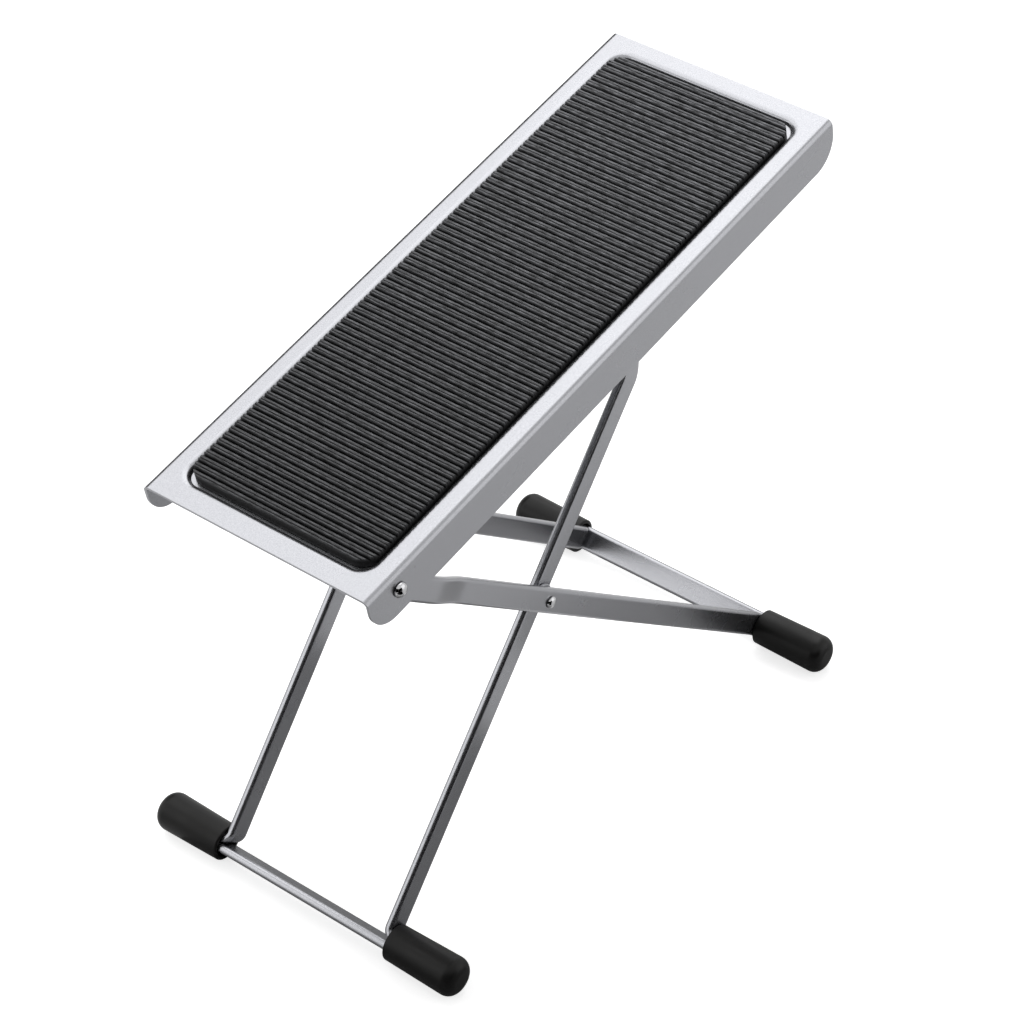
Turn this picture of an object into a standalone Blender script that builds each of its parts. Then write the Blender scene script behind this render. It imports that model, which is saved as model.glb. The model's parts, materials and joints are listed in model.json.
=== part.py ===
"""Guitar footrest, folding, standing at its highest step.

A folded sheet-steel platform with a ribbed rubber mat turns on two rivets at
the top of an outer leg frame. An inner leg frame crosses the outer one on two
more rivets, and its top rod holds the platform up under two toothed racks.
Both frames stand on rubber feet pushed over their lower corners.

Metres, +Z up, X along the platform (low end at -X), -Y the near side.
"""

from math import acos, atan2, cos, hypot, pi, radians, sin

import bmesh
import bpy
from mathutils import Vector

# Clearances
FIT = 0.0003            # between two meshes that touch on the real object
HOLE_FIT = 0.00025      # round a shank or a rod, on the radius

# Platform: one folded sheet
PLATFORM_LENGTH = 0.2870
PLATFORM_WIDTH = 0.1068
SHEET = 0.0012
BEND_RADIUS = 0.0020
FLANGE_DEPTH = 0.0186
FLANGE_CORNER = 0.0122

# Pressed tray in the platform, which takes the mat
TRAY_LOW_MARGIN = 0.0090
TRAY_HIGH_MARGIN = 0.0075
TRAY_SIDE_MARGIN = 0.0084
TRAY_DEPTH = 0.0025
TRAY_CORNER = 0.0080
TRAY_SHOULDER = 0.0015
TRAY_FILLET = 0.0009

# Rubber mat
MAT_LOW_GAP = 0.0034
MAT_HIGH_GAP = 0.0037
MAT_SIDE_GAP = 0.0019
MAT_THICKNESS = 0.0044
MAT_CORNER = 0.0075
MAT_RIBS = 77
MAT_GROOVE_DEPTH = 0.0017
MAT_FINE_GROOVE_DEPTH = 0.0006
RIB_BROAD_SHARE = 0.42      # shares of one rib's pitch
RIB_FINE_GROOVE_SHARE = 0.14
RIB_NARROW_SHARE = 0.22

# Flat strip that both leg frames are bent from
STRIP_WIDTH = 0.0104
STRIP = 0.0037
STRIP_EDGE = 0.0015
STRIP_EDGE_SHARE = 0.42  # of the half width, where a rounded end narrows
TAB_BEND = 0.0017       # inner radius of the outward bend into a foot
TAB_REACH = 0.0220      # from the leg's outer face to the tab's end
CORNER_RIVET_REACH = 0.0130

# Outer leg frame, along the leg from the platform pivot
PIVOT_FROM_LOW_END = 0.0159
PIVOT_BELOW_TOP = 0.0080
PIVOT_TO_CROSS = 0.1179
PIVOT_TO_OUTER_FOOT = 0.3069
OUTER_JOG_START = 0.0263
OUTER_JOG_LENGTH = 0.0274
OUTER_JOG = 0.0033

# Inner leg frame, along the leg from the crossing
CROSS_TO_INNER_FOOT = 0.1470
CROSS_TO_ROD = 0.1275
CROSS_SPACER = 0.0011
INNER_JOG_START = 0.0890
INNER_JOG_LENGTH = 0.0220
INNER_JOG = 0.0070

# Top rod and the toothed racks that rest on it
ROD_RADIUS = 0.0030
ROD_CHAMFER = 0.0005
ROD_FROM_PIVOT = 0.1749
ROD_BELOW_PIVOT = 0.0069
RACK_SHEET = 0.0012
RACK_BEND = 0.0022
RACK_LEG_WIDTH = 0.0086
RACK_STEPS = 5
RACK_PITCH = 0.0125
RACK_LOW_END = 0.0085
RACK_HIGH_END = 0.0080
TOOTH_DEPTH = 0.0040
TOOTH_RAMP = 0.0026
ROD_UNDER_TEETH = 0.0004

# Rivets and washers
PIVOT_RIVET_SHANK = 0.0020
PIVOT_RIVET_HEAD = 0.0031
PIVOT_RIVET_DOME = 0.0022
CROSS_RIVET_SHANK = 0.0016
CROSS_RIVET_HEAD = 0.0025
CROSS_RIVET_DOME = 0.0015
TAIL_HEIGHT = 0.0010
SPACER_RADIUS = 0.0056
CORNER_RIVET_SHANK = 0.0013
CORNER_RIVET_HEAD = 0.0024
CORNER_RIVET_HEIGHT = 0.0009

# Rubber feet
FOOT_LENGTH = 0.0337
FOOT_INNER_RADIUS = 0.0078
FOOT_OUTER_RADIUS = 0.0083
FOOT_DOME = 0.0050
FOOT_RIM = 0.0007
FOOT_BORE = 0.0063
FOOT_END_WALL = 0.0050
FOOT_FROM_LEG = 0.0004

# Facet counts and shading
ROUND = 24
RIVET_ROUND = 20
CORNER_RIVET_ROUND = 14
ARC = 6
EDGE_STEPS = 3
RIM_STEPS = 3
JOG_STEPS = 10
END_STEPS = 5
SHARP_ANGLE = radians(40)
WELD_SHARE = 0.001      # of FIT, for vertices that belong together


# Places worked out from the sizes above

LEG_PIVOT_FACE = PLATFORM_WIDTH / 2 - SHEET - FIT
OUTER_LEG_FACE = LEG_PIVOT_FACE - OUTER_JOG
INNER_LEG_FACE = OUTER_LEG_FACE - STRIP - FIT - CROSS_SPACER - FIT
ROD_LEG_FACE = INNER_LEG_FACE - INNER_JOG
ROD_HALF = OUTER_LEG_FACE - STRIP - FIT
OUTER_CROSS_BAR = PIVOT_TO_OUTER_FOOT + FIT / 2 + STRIP / 2
OUTER_TAB = PIVOT_TO_OUTER_FOOT - FIT / 2 - STRIP / 2
INNER_CROSS_BAR = -CROSS_TO_INNER_FOOT - FIT / 2 - STRIP / 2
INNER_TAB = -CROSS_TO_INNER_FOOT + FIT / 2 + STRIP / 2

# The triangle of platform pivot, crossing and rod gives every angle at rest
ROD_REACH = hypot(ROD_FROM_PIVOT, ROD_BELOW_PIVOT)
FRAME_ANGLE = pi - acos(
    (PIVOT_TO_CROSS**2 + CROSS_TO_ROD**2 - ROD_REACH**2) / (2 * PIVOT_TO_CROSS * CROSS_TO_ROD)
)
ANGLE_AT_PIVOT = acos(
    (PIVOT_TO_CROSS**2 + ROD_REACH**2 - CROSS_TO_ROD**2) / (2 * PIVOT_TO_CROSS * ROD_REACH)
)
CROSS_TO_OUTER_FOOT = PIVOT_TO_OUTER_FOOT - PIVOT_TO_CROSS
OUTER_SLOPE = atan2(
    CROSS_TO_INNER_FOOT * sin(FRAME_ANGLE),
    CROSS_TO_OUTER_FOOT + CROSS_TO_INNER_FOOT * cos(FRAME_ANGLE),
)
INNER_SLOPE = FRAME_ANGLE - OUTER_SLOPE
PLATFORM_TILT = ANGLE_AT_PIVOT - OUTER_SLOPE + atan2(ROD_BELOW_PIVOT, ROD_FROM_PIVOT)

# Pivot height, with both pairs of feet on the floor
PIVOT_HEIGHT = FOOT_OUTER_RADIUS + PIVOT_TO_OUTER_FOOT * sin(OUTER_SLOPE)


def pivot_x():
    """Where the platform pivot lies along X when the bounding box is centred on the origin."""
    low = -PIVOT_FROM_LOW_END * cos(PLATFORM_TILT) - PIVOT_BELOW_TOP * sin(PLATFORM_TILT)
    corner_along = PLATFORM_LENGTH - PIVOT_FROM_LOW_END - FLANGE_CORNER
    corner_up = PIVOT_BELOW_TOP - FLANGE_DEPTH + FLANGE_CORNER
    high = corner_along * cos(PLATFORM_TILT) - corner_up * sin(PLATFORM_TILT) + FLANGE_CORNER
    return -(low + high) / 2


PIVOT = Vector((pivot_x(), 0, PIVOT_HEIGHT))
CROSS = PIVOT + PIVOT_TO_CROSS * Vector((cos(OUTER_SLOPE), 0, -sin(OUTER_SLOPE)))


# Scene, collections and materials

def clear_scene():
    for item in list(bpy.data.objects):
        bpy.data.objects.remove(item)


def collection(name, hidden=False):
    made = bpy.data.collections.new(name)
    made.hide_render = hidden
    bpy.context.scene.collection.children.link(made)
    return made


def material(name, colour, roughness, metallic):
    made = bpy.data.materials.new(name)
    made.use_nodes = True
    shader = made.node_tree.nodes["Principled BSDF"]
    shader.inputs["Base Color"].default_value = (*colour, 1)
    shader.inputs["Roughness"].default_value = roughness
    shader.inputs["Metallic"].default_value = metallic
    made.diffuse_color = (*colour, 1)
    return made


def empty(name, location, turn, parts):
    """An empty on a joint's axis, turned about Y so that its X runs along its frame."""
    made = bpy.data.objects.new(name, None)
    made.location = location
    made.rotation_euler = (0, turn, 0)
    parts.objects.link(made)
    return made


def piece(name, mesh, finish, parent, parts, smooth=None):
    """A mesh closed and turned outwards, as one named piece on its frame's empty."""
    bmesh.ops.remove_doubles(mesh, verts=mesh.verts, dist=FIT * WELD_SHARE)
    bmesh.ops.recalc_face_normals(mesh, faces=mesh.faces)
    data = bpy.data.meshes.new(name)
    mesh.to_mesh(data)
    mesh.free()
    made = bpy.data.objects.new(name, data)
    data.materials.append(finish)
    parts.objects.link(made)
    made.parent = parent
    if smooth is not None:
        data.shade_smooth()
        data.set_sharp_from_angle(angle=smooth)
    return made


def cutter(name, mesh, parent):
    made = piece(name, mesh, FINISH["cutter"], parent, CUTTERS)
    made.hide_render = True
    made.display_type = "WIRE"
    return made


def cut(target, tool):
    step = target.modifiers.new(tool.name, "BOOLEAN")
    step.object = tool
    step.operation = "DIFFERENCE"
    step.solver = "EXACT"


# Shapes

def arc(centre, radius, start, end, steps):
    """Points on an arc in a plane, both ends included, angles in radians."""
    turns = (start + (end - start) * i / steps for i in range(steps + 1))
    return [(centre[0] + radius * cos(t), centre[1] + radius * sin(t)) for t in turns]


def prism(outline, axis, low, high):
    """An outline of the two other axes, in their order, drawn out along one axis."""
    mesh = bmesh.new()
    rings = []
    for along in (low, high):
        ring = []
        for point in outline:
            place = list(point)
            place.insert("XYZ".index(axis), along)
            ring.append(mesh.verts.new(place))
        rings.append(ring)
    mesh.faces.new(rings[0])
    mesh.faces.new(reversed(rings[1]))
    count = len(outline)
    for i in range(count):
        j = (i + 1) % count
        mesh.faces.new((rings[0][i], rings[0][j], rings[1][j], rings[1][i]))
    return mesh


def lathe(profile, axis="Y", offset=(0, 0, 0), steps=ROUND):
    """A profile of (along, radius) points turned about an axis; radius 0 closes on the axis."""
    mesh = bmesh.new()
    index = "XYZ".index(axis)
    rings = []
    for along, radius in profile:
        ring = []
        for i in range(steps if radius else 1):
            turn = 2 * pi * (i + 1 / 2) / steps
            place = [radius * cos(turn), radius * sin(turn)]
            place.insert(index, along)
            ring.append(mesh.verts.new(Vector(place) + Vector(offset)))
        rings.append(ring)
    for first, second in zip(rings, rings[1:]):
        for i in range(steps):
            j = (i + 1) % steps
            corners = [first[i % len(first)], first[j % len(first)]]
            corners += [second[j % len(second)], second[i % len(second)]]
            kept = list(dict.fromkeys(corners))
            mesh.faces.new(kept)
    return mesh


def cylinder(radius, low, high, axis="Y", offset=(0, 0, 0)):
    return lathe([(low, 0), (low, radius), (high, radius), (high, 0)], axis, offset)


def jog(start, end, face, shift):
    """Stations of a strip that steps sideways in a smooth S between two places along the leg."""
    steps = [i / JOG_STEPS for i in range(JOG_STEPS + 1)]
    return [
        (start + (end - start) * t, face + shift * (1 - cos(pi * t)) / 2, STRIP_WIDTH / 2)
        for t in steps
    ]


def round_end(place, face, toward):
    """Stations of a strip's half-round end centred on place, from the tip inwards."""
    turns = [pi / 2 * (i + 1 / 2) / (END_STEPS + 1 / 2) for i in range(END_STEPS)]
    radius = STRIP_WIDTH / 2
    return [(place + toward * radius * cos(t), face, radius * sin(t)) for t in turns]


def tab_bend(face, place, toward, end):
    """Stations that turn a strip outwards into its foot; toward is the way the leg runs there."""
    radius = TAB_BEND + STRIP / 2
    centre = (place - toward * radius, face + radius)
    turned = arc(centre, radius, -pi / 2, 0, ARC)
    stations = [
        (centre[0] + toward * (s - centre[0]), q, STRIP_WIDTH / 2) for s, q in turned
    ]
    return stations + [(place, end, STRIP_WIDTH / 2)]


def strip(stations, side):
    """A flat strip with eased edges along stations of (along leg, out from centre, half width)."""
    mesh = bmesh.new()
    rings = []
    half = STRIP / 2
    count = len(stations)
    for i, (s, q, width) in enumerate(stations):
        before = Vector(stations[max(i - 1, 0)][:2])
        after = Vector(stations[min(i + 1, count - 1)][:2])
        run = (after - before).normalized()
        normal = Vector((-run.y, run.x))
        ease = min(STRIP_EDGE, width * STRIP_EDGE_SHARE)
        ring = []
        corners = ((1, 1, 0), (-1, 1, pi / 2), (-1, -1, pi), (1, -1, 3 * pi / 2))
        for over, up, turn in corners:
            centre = (over * (half - ease), up * (width - ease))
            for across, height in arc(centre, ease, turn, turn + pi / 2, EDGE_STEPS):
                place = Vector((s, q)) + normal * across
                ring.append(mesh.verts.new((place.x, side * place.y, height)))
        rings.append(ring)
    for first, second in zip(rings, rings[1:]):
        size = len(first)
        for i in range(size):
            j = (i + 1) % size
            mesh.faces.new((first[i], first[j], second[j], second[i]))
    mesh.faces.new(rings[0])
    mesh.faces.new(reversed(rings[-1]))
    return mesh


def drill(target, name, radius, low, high, parent, axis="Y", offset=(0, 0, 0)):
    cut(target, cutter(name, cylinder(radius + HOLE_FIT, low, high, axis, offset), parent))


# Platform, tray, mat and racks, in the platform's own frame at the pivot

PLATE_LOW = -PIVOT_FROM_LOW_END
PLATE_TOP = PIVOT_BELOW_TOP
TRAY_LOW = PLATE_LOW + TRAY_LOW_MARGIN
TRAY_HIGH = PLATE_LOW + PLATFORM_LENGTH - TRAY_HIGH_MARGIN
TRAY_HALF_LENGTH = (TRAY_HIGH - TRAY_LOW) / 2
TRAY_HALF_WIDTH = PLATFORM_WIDTH / 2 - TRAY_SIDE_MARGIN
TRAY_CENTRE = (TRAY_HIGH + TRAY_LOW) / 2
TRAY_UNDERSIDE = PLATE_TOP - TRAY_DEPTH - SHEET


def corner_turns():
    """The four corners of a rounded rectangle, each with its signs and its angles."""
    corners = ((1, 1, 0), (-1, 1, pi / 2), (-1, -1, pi), (1, -1, 3 * pi / 2))
    for sign_x, sign_y, start in corners:
        for i in range(ARC + 1):
            yield sign_x, sign_y, start + pi / 2 * i / ARC


def tray_ring(mesh, offset, height):
    ring = []
    for sign_x, sign_y, turn in corner_turns():
        x = TRAY_CENTRE + sign_x * (TRAY_HALF_LENGTH - TRAY_CORNER)
        y = sign_y * (TRAY_HALF_WIDTH - TRAY_CORNER)
        radius = TRAY_CORNER + offset
        ring.append(mesh.verts.new((x + radius * cos(turn), y + radius * sin(turn), height)))
    return ring


def plate_ring(mesh):
    """The flat plate's rectangle, with one vertex for each vertex of a tray ring."""
    ring = []
    edge_y = PLATFORM_WIDTH / 2 - BEND_RADIUS
    for sign_x, sign_y, turn in corner_turns():
        edge_x = PLATE_LOW + PLATFORM_LENGTH if sign_x > 0 else PLATE_LOW
        x = TRAY_CENTRE + sign_x * (TRAY_HALF_LENGTH - TRAY_CORNER)
        y = sign_y * (TRAY_HALF_WIDTH - TRAY_CORNER)
        reach = abs(edge_x - x), edge_y - abs(y)
        across, up = abs(cos(turn)), abs(sin(turn))
        if across >= up:
            ring.append(mesh.verts.new((edge_x, y + sign_y * reach[1] * up / across, PLATE_TOP)))
        else:
            ring.append(mesh.verts.new((x + sign_x * reach[0] * across / up, sign_y * edge_y, PLATE_TOP)))
    return ring


def join_rings(mesh, first, second):
    size = len(first)
    for i in range(size):
        j = (i + 1) % size
        mesh.faces.new((first[i], first[j], second[j], second[i]))


def platform_surface():
    """The sheet's outer face: tray floor, shoulder, flat margin, both bends and both flanges."""
    mesh = bmesh.new()
    rings = [plate_ring(mesh)]
    for drop, z in arc((0, 0), TRAY_SHOULDER, pi / 2, 0, ARC // 2):
        rings.append(tray_ring(mesh, TRAY_SHOULDER - drop, PLATE_TOP - TRAY_SHOULDER + z))
    floor = PLATE_TOP - TRAY_DEPTH
    for drop, z in arc((0, 0), TRAY_FILLET, 0, pi / 2, ARC // 2):
        rings.append(tray_ring(mesh, drop - TRAY_FILLET, floor + TRAY_FILLET - z))
    for first, second in zip(rings, rings[1:]):
        join_rings(mesh, first, second)
    mesh.faces.new(rings[-1])
    edge_y = PLATFORM_WIDTH / 2 - BEND_RADIUS
    for side in (-1, 1):
        row = [v for v in rings[0] if abs(v.co.y - side * edge_y) < FIT * WELD_SHARE]
        row.sort(key=lambda v: v.co.x)
        places = [
            (side * (edge_y + across), PLATE_TOP - BEND_RADIUS + up)
            for across, up in arc((0, 0), BEND_RADIUS, pi / 2, 0, ARC)[1:]
        ]
        places.append((side * PLATFORM_WIDTH / 2, PLATE_TOP - FLANGE_DEPTH))
        for y, z in places:
            lower = [mesh.verts.new((v.co.x, y, z)) for v in row]
            for i in range(len(row) - 1):
                mesh.faces.new((row[i], row[i + 1], lower[i + 1], lower[i]))
            row = lower
    bmesh.ops.recalc_face_normals(mesh, faces=mesh.faces)
    top = max(mesh.faces, key=lambda face: face.calc_area())
    if top.normal.z < 0:
        bmesh.ops.reverse_faces(mesh, faces=mesh.faces)
    return mesh


def flange_corner_cut(low_end):
    """What a flange loses at one end of the platform, drawn right across its width."""
    over = FLANGE_CORNER / 2
    bottom = PLATE_TOP - FLANGE_DEPTH
    centre = (FLANGE_CORNER, bottom + FLANGE_CORNER)
    curve = arc(centre, FLANGE_CORNER, 3 * pi / 2, pi, 2 * ARC)
    outline = [(-over, bottom - over), (FLANGE_CORNER, bottom - over)]
    outline += curve + [(-over, bottom + FLANGE_CORNER)]
    if low_end:
        outline = [(PLATE_LOW + x, z) for x, z in outline]
    else:
        outline = [(PLATE_LOW + PLATFORM_LENGTH - x, z) for x, z in outline]
    return prism(outline, "Y", -PLATFORM_WIDTH, PLATFORM_WIDTH)


def make_platform(frame):
    mesh = platform_surface()
    data = bpy.data.meshes.new("platform")
    mesh.to_mesh(data)
    mesh.free()
    plate = bpy.data.objects.new("platform", data)
    data.materials.append(FINISH["paint"])
    PARTS.objects.link(plate)
    plate.parent = frame
    wall = plate.modifiers.new("sheet", "SOLIDIFY")
    wall.thickness = SHEET
    wall.offset = -1
    wall.use_even_offset = True
    for low_end in (True, False):
        name = "flange_corner_low" if low_end else "flange_corner_high"
        cut(plate, cutter(name, flange_corner_cut(low_end), frame))
    drill(plate, "pivot_hole", PIVOT_RIVET_SHANK, -PLATFORM_WIDTH, PLATFORM_WIDTH, frame)
    data.shade_smooth()
    data.set_sharp_from_angle(angle=SHARP_ANGLE)
    return plate


def rib_outline(low, high, bottom, top):
    """The mat in side view: broad ribs, each split by a fine groove, over a plain base."""
    pitch = (high - low) / MAT_RIBS
    deep = top - MAT_GROOVE_DEPTH
    fine = top - MAT_FINE_GROOVE_DEPTH
    groove = 1 - RIB_BROAD_SHARE - RIB_FINE_GROOVE_SHARE - RIB_NARROW_SHARE
    outline = [(low, bottom), (low, deep)]
    for i in range(MAT_RIBS):
        x = low + pitch * i
        for share, height in (
            (groove / 4, deep),
            (groove / 2, top),
            (groove / 2 + RIB_BROAD_SHARE, top),
            (groove / 2 + RIB_BROAD_SHARE + RIB_FINE_GROOVE_SHARE / 2, fine),
            (groove / 2 + RIB_BROAD_SHARE + RIB_FINE_GROOVE_SHARE, top),
            (1 - groove / 2, top),
            (1 - groove / 4, deep),
        ):
            outline.append((x + pitch * share, height))
    return outline + [(high, deep), (high, bottom)]


def make_mat(frame):
    bottom = PLATE_TOP - TRAY_DEPTH + FIT
    top = PLATE_TOP - TRAY_DEPTH + MAT_THICKNESS
    low, high = TRAY_LOW + MAT_LOW_GAP, TRAY_HIGH - MAT_HIGH_GAP
    half = TRAY_HALF_WIDTH - MAT_SIDE_GAP
    mat = piece(
        "rubber_mat",
        prism(rib_outline(low, high, bottom, top), "Y", -half, half),
        FINISH["rubber"], frame, PARTS,
    )
    over = MAT_CORNER
    for sign_x, end in ((-1, low), (1, high)):
        for sign_y in (-1, 1):
            centre = (end - sign_x * over, sign_y * (half - over))
            start = pi if sign_x < 0 else 0
            curve = arc(centre, over, start, start + (pi / 2 if sign_x * sign_y > 0 else -pi / 2), ARC)
            beyond = (end + sign_x * over, sign_y * (half + over))
            outline = curve + [(curve[-1][0], beyond[1]), beyond, (beyond[0], curve[0][1])]
            waste = prism(outline, "Z", bottom - over, top + over)
            cut(mat, cutter(f"mat_corner_{sign_x}_{sign_y}", waste, frame))
    return mat


ROD_SEAT = -ROD_BELOW_PIVOT
TOOTH_TIP = ROD_SEAT + ROD_RADIUS + ROD_UNDER_TEETH
RACK_TOP = TRAY_UNDERSIDE - FIT
RACK_FACE = ROD_HALF


def rack_section(side):
    """A bent angle: one leg under the tray, the other hanging down as the toothed web."""
    inner_bend = RACK_BEND - RACK_SHEET
    outer = RACK_FACE
    centre = (outer - RACK_BEND, RACK_TOP - RACK_BEND)
    outline = [(outer - RACK_LEG_WIDTH, RACK_TOP)]
    outline += arc(centre, RACK_BEND, pi / 2, 0, ARC)
    outline += [(outer, TOOTH_TIP), (outer - RACK_SHEET, TOOTH_TIP)]
    outline += arc(centre, inner_bend, 0, pi / 2, ARC)
    outline += [(outer - RACK_LEG_WIDTH, RACK_TOP - RACK_SHEET)]
    return [(side * y, z) for y, z in outline]


def notch_outline(place):
    """One notch: upright on the side that takes the load, sloped on the side that ratchets."""
    radius = ROD_RADIUS + ROD_UNDER_TEETH
    roof = TOOTH_TIP + TOOTH_DEPTH
    below = TOOTH_TIP - TOOTH_DEPTH
    outline = arc((place, roof - radius), radius, 0, pi, ARC)
    outline += [(place - radius - TOOTH_RAMP, TOOTH_TIP)]
    outline += [(place - radius - TOOTH_RAMP, below), (place + radius, below)]
    return outline


def make_rack(name, side, frame):
    low = ROD_FROM_PIVOT - RACK_LOW_END
    high = ROD_FROM_PIVOT + RACK_PITCH * (RACK_STEPS - 1) + RACK_HIGH_END
    rack = piece(name, prism(rack_section(side), "X", low, high), FINISH["steel"], frame, PARTS)
    near, far = sorted((side * (RACK_FACE + RACK_SHEET), side * (RACK_FACE - 2 * RACK_SHEET)))
    for step in range(RACK_STEPS):
        outline = notch_outline(ROD_FROM_PIVOT + RACK_PITCH * step)
        cut(rack, cutter(f"{name}_notch_{step}", prism(outline, "Y", near, far), frame))
    return rack


# Leg frames

def make_outer_leg(name, side, frame):
    pivot_mid = LEG_PIVOT_FACE - STRIP / 2
    leg_mid = OUTER_LEG_FACE - STRIP / 2
    stations = round_end(0, pivot_mid, -1)
    stations.append((0, pivot_mid, STRIP_WIDTH / 2))
    stations += jog(OUTER_JOG_START, OUTER_JOG_START + OUTER_JOG_LENGTH, pivot_mid, leg_mid - pivot_mid)
    stations += tab_bend(leg_mid, OUTER_TAB, 1, OUTER_LEG_FACE + TAB_REACH)
    leg = piece(name, strip(stations, side), FINISH["paint"], frame, PARTS, SHARP_ANGLE)
    near, far = sorted((side * (LEG_PIVOT_FACE + STRIP), side * (OUTER_LEG_FACE - 2 * STRIP)))
    drill(leg, f"{name}_pivot_hole", PIVOT_RIVET_SHANK, near, far, frame)
    drill(leg, f"{name}_cross_hole", CROSS_RIVET_SHANK, near, far, frame, offset=(PIVOT_TO_CROSS, 0, 0))
    place = (0, side * (OUTER_LEG_FACE + CORNER_RIVET_REACH), 0)
    drill(
        leg, f"{name}_tab_hole", CORNER_RIVET_SHANK,
        OUTER_TAB - STRIP, OUTER_TAB + STRIP, frame, "X", place,
    )
    return leg


def make_inner_leg(name, side, frame):
    leg_mid = INNER_LEG_FACE - STRIP / 2
    rod_mid = ROD_LEG_FACE - STRIP / 2
    stations = round_end(CROSS_TO_ROD, rod_mid, 1)
    stations.append((CROSS_TO_ROD, rod_mid, STRIP_WIDTH / 2))
    stations += jog(INNER_JOG_START + INNER_JOG_LENGTH, INNER_JOG_START, rod_mid, leg_mid - rod_mid)
    stations += tab_bend(leg_mid, INNER_TAB, -1, INNER_LEG_FACE + TAB_REACH)
    leg = piece(name, strip(stations, side), FINISH["paint"], frame, PARTS, SHARP_ANGLE)
    near, far = sorted((side * (INNER_LEG_FACE + STRIP), side * (ROD_LEG_FACE - 2 * STRIP)))
    drill(leg, f"{name}_rod_hole", ROD_RADIUS, near, far, frame, offset=(CROSS_TO_ROD, 0, 0))
    drill(leg, f"{name}_cross_hole", CROSS_RIVET_SHANK, near, far, frame)
    place = (0, side * (INNER_LEG_FACE + CORNER_RIVET_REACH), 0)
    drill(
        leg, f"{name}_tab_hole", CORNER_RIVET_SHANK,
        INNER_TAB - STRIP, INNER_TAB + STRIP, frame, "X", place,
    )
    return leg


def make_crossbar(name, place, face, frame):
    reach = face + TAB_REACH
    stations = [(place, -reach, STRIP_WIDTH / 2), (place, reach, STRIP_WIDTH / 2)]
    bar = piece(name, strip(stations, 1), FINISH["paint"], frame, PARTS, SHARP_ANGLE)
    for side in (-1, 1):
        hole = (0, side * (face + CORNER_RIVET_REACH), 0)
        drill(
            bar, f"{name}_hole_{side}", CORNER_RIVET_SHANK,
            place - STRIP, place + STRIP, frame, "X", hole,
        )
    return bar


def dome(height, radius, base, direction):
    """Profile of a domed head that stands on base, from its rim to its top on the axis."""
    turned = arc((0, 0), 1, 0, pi / 2, ARC)
    return [(base + direction * height * up, radius * across) for across, up in turned[:-1]] + [
        (base + direction * height, 0)
    ]


def headed_pin(head_face, tail_face, shank, head, height, side):
    """A rivet across Y: domed head outside, flat tail inside, both FIT clear of what they clamp."""
    outside, inside = head_face + FIT, tail_face - FIT
    profile = [(inside - TAIL_HEIGHT, 0), (inside - TAIL_HEIGHT, head), (inside, head), (inside, shank)]
    profile += [(outside, shank)]
    profile += dome(height, head, outside, 1)
    return lathe([(side * along, radius) for along, radius in profile], steps=RIVET_ROUND)


def make_rivet(name, mesh, frame):
    return piece(name, mesh, FINISH["rivet"], frame, PARTS, SHARP_ANGLE)


def make_corner_rivet(name, middle, reach, frame):
    """Holds a leg's tab to the crossbar end inside the foot."""
    stack = STRIP + FIT / 2 + FIT
    head = stack + CORNER_RIVET_HEIGHT
    profile = [(middle - head, 0), (middle - head, CORNER_RIVET_HEAD)]
    profile += [(middle - stack, CORNER_RIVET_HEAD), (middle - stack, CORNER_RIVET_SHANK)]
    profile += [(middle + stack, CORNER_RIVET_SHANK), (middle + stack, CORNER_RIVET_HEAD)]
    profile += [(middle + head, CORNER_RIVET_HEAD), (middle + head, 0)]
    return make_rivet(name, lathe(profile, "X", (0, reach, 0), CORNER_RIVET_ROUND), frame)


def make_washer(name, face, side, frame):
    """A plain spacer between the two legs at the crossing, on the inside of face."""
    near, far = face - STRIP - FIT, face - STRIP - FIT - CROSS_SPACER
    hole = CROSS_RIVET_SHANK + HOLE_FIT
    profile = [(near, hole), (near, SPACER_RADIUS), (far, SPACER_RADIUS), (far, hole), (near, hole)]
    mesh = lathe([(side * along, radius) for along, radius in profile], offset=(PIVOT_TO_CROSS, 0, 0))
    return piece(name, mesh, FINISH["steel"], frame, PARTS, SHARP_ANGLE)


def make_foot(name, place, face, side, frame):
    """A tapered rubber cap, open towards the leg, with a domed outer end."""
    start = face + FOOT_FROM_LEG
    end = start + FOOT_LENGTH
    dome_centre = end - FOOT_DOME
    flat = FOOT_OUTER_RADIUS - FOOT_DOME
    rim = arc((start + FOOT_RIM, FOOT_INNER_RADIUS - FOOT_RIM), FOOT_RIM, pi, pi / 2, RIM_STEPS)
    profile = [(end, 0)]
    profile += [(x, y) for x, y in arc((dome_centre, flat), FOOT_DOME, 0, pi / 2, ARC)]
    profile += reversed(rim)
    profile += [(start, FOOT_BORE), (end - FOOT_END_WALL, FOOT_BORE), (end - FOOT_END_WALL, 0)]
    mesh = lathe([(side * along, radius) for along, radius in profile], offset=(place, 0, 0))
    return piece(name, mesh, FINISH["rubber"], frame, PARTS, SHARP_ANGLE)


def make_rod(frame):
    chamfered = ROD_HALF - ROD_CHAMFER
    end = ROD_RADIUS - ROD_CHAMFER
    profile = [(-ROD_HALF, 0), (-ROD_HALF, end), (-chamfered, ROD_RADIUS)]
    profile += [(chamfered, ROD_RADIUS), (ROD_HALF, end), (ROD_HALF, 0)]
    mesh = lathe(profile, offset=(CROSS_TO_ROD, 0, 0))
    return piece("top_rod", mesh, FINISH["steel"], frame, PARTS, SHARP_ANGLE)


clear_scene()
PARTS = collection("guitar_footrest")
CUTTERS = collection("cutters", hidden=True)
FINISH = {
    "paint": material("silver_paint", (0.46, 0.46, 0.48), 0.38, 0.75),
    "rubber": material("black_rubber", (0.025, 0.025, 0.026), 0.62, 0.0),
    "rivet": material("bright_rivet", (0.72, 0.72, 0.74), 0.18, 1.0),
    "steel": material("zinc_steel", (0.55, 0.55, 0.57), 0.32, 1.0),
    "cutter": material("cutter", (0.8, 0.2, 0.2), 0.5, 0.0),
}

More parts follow.
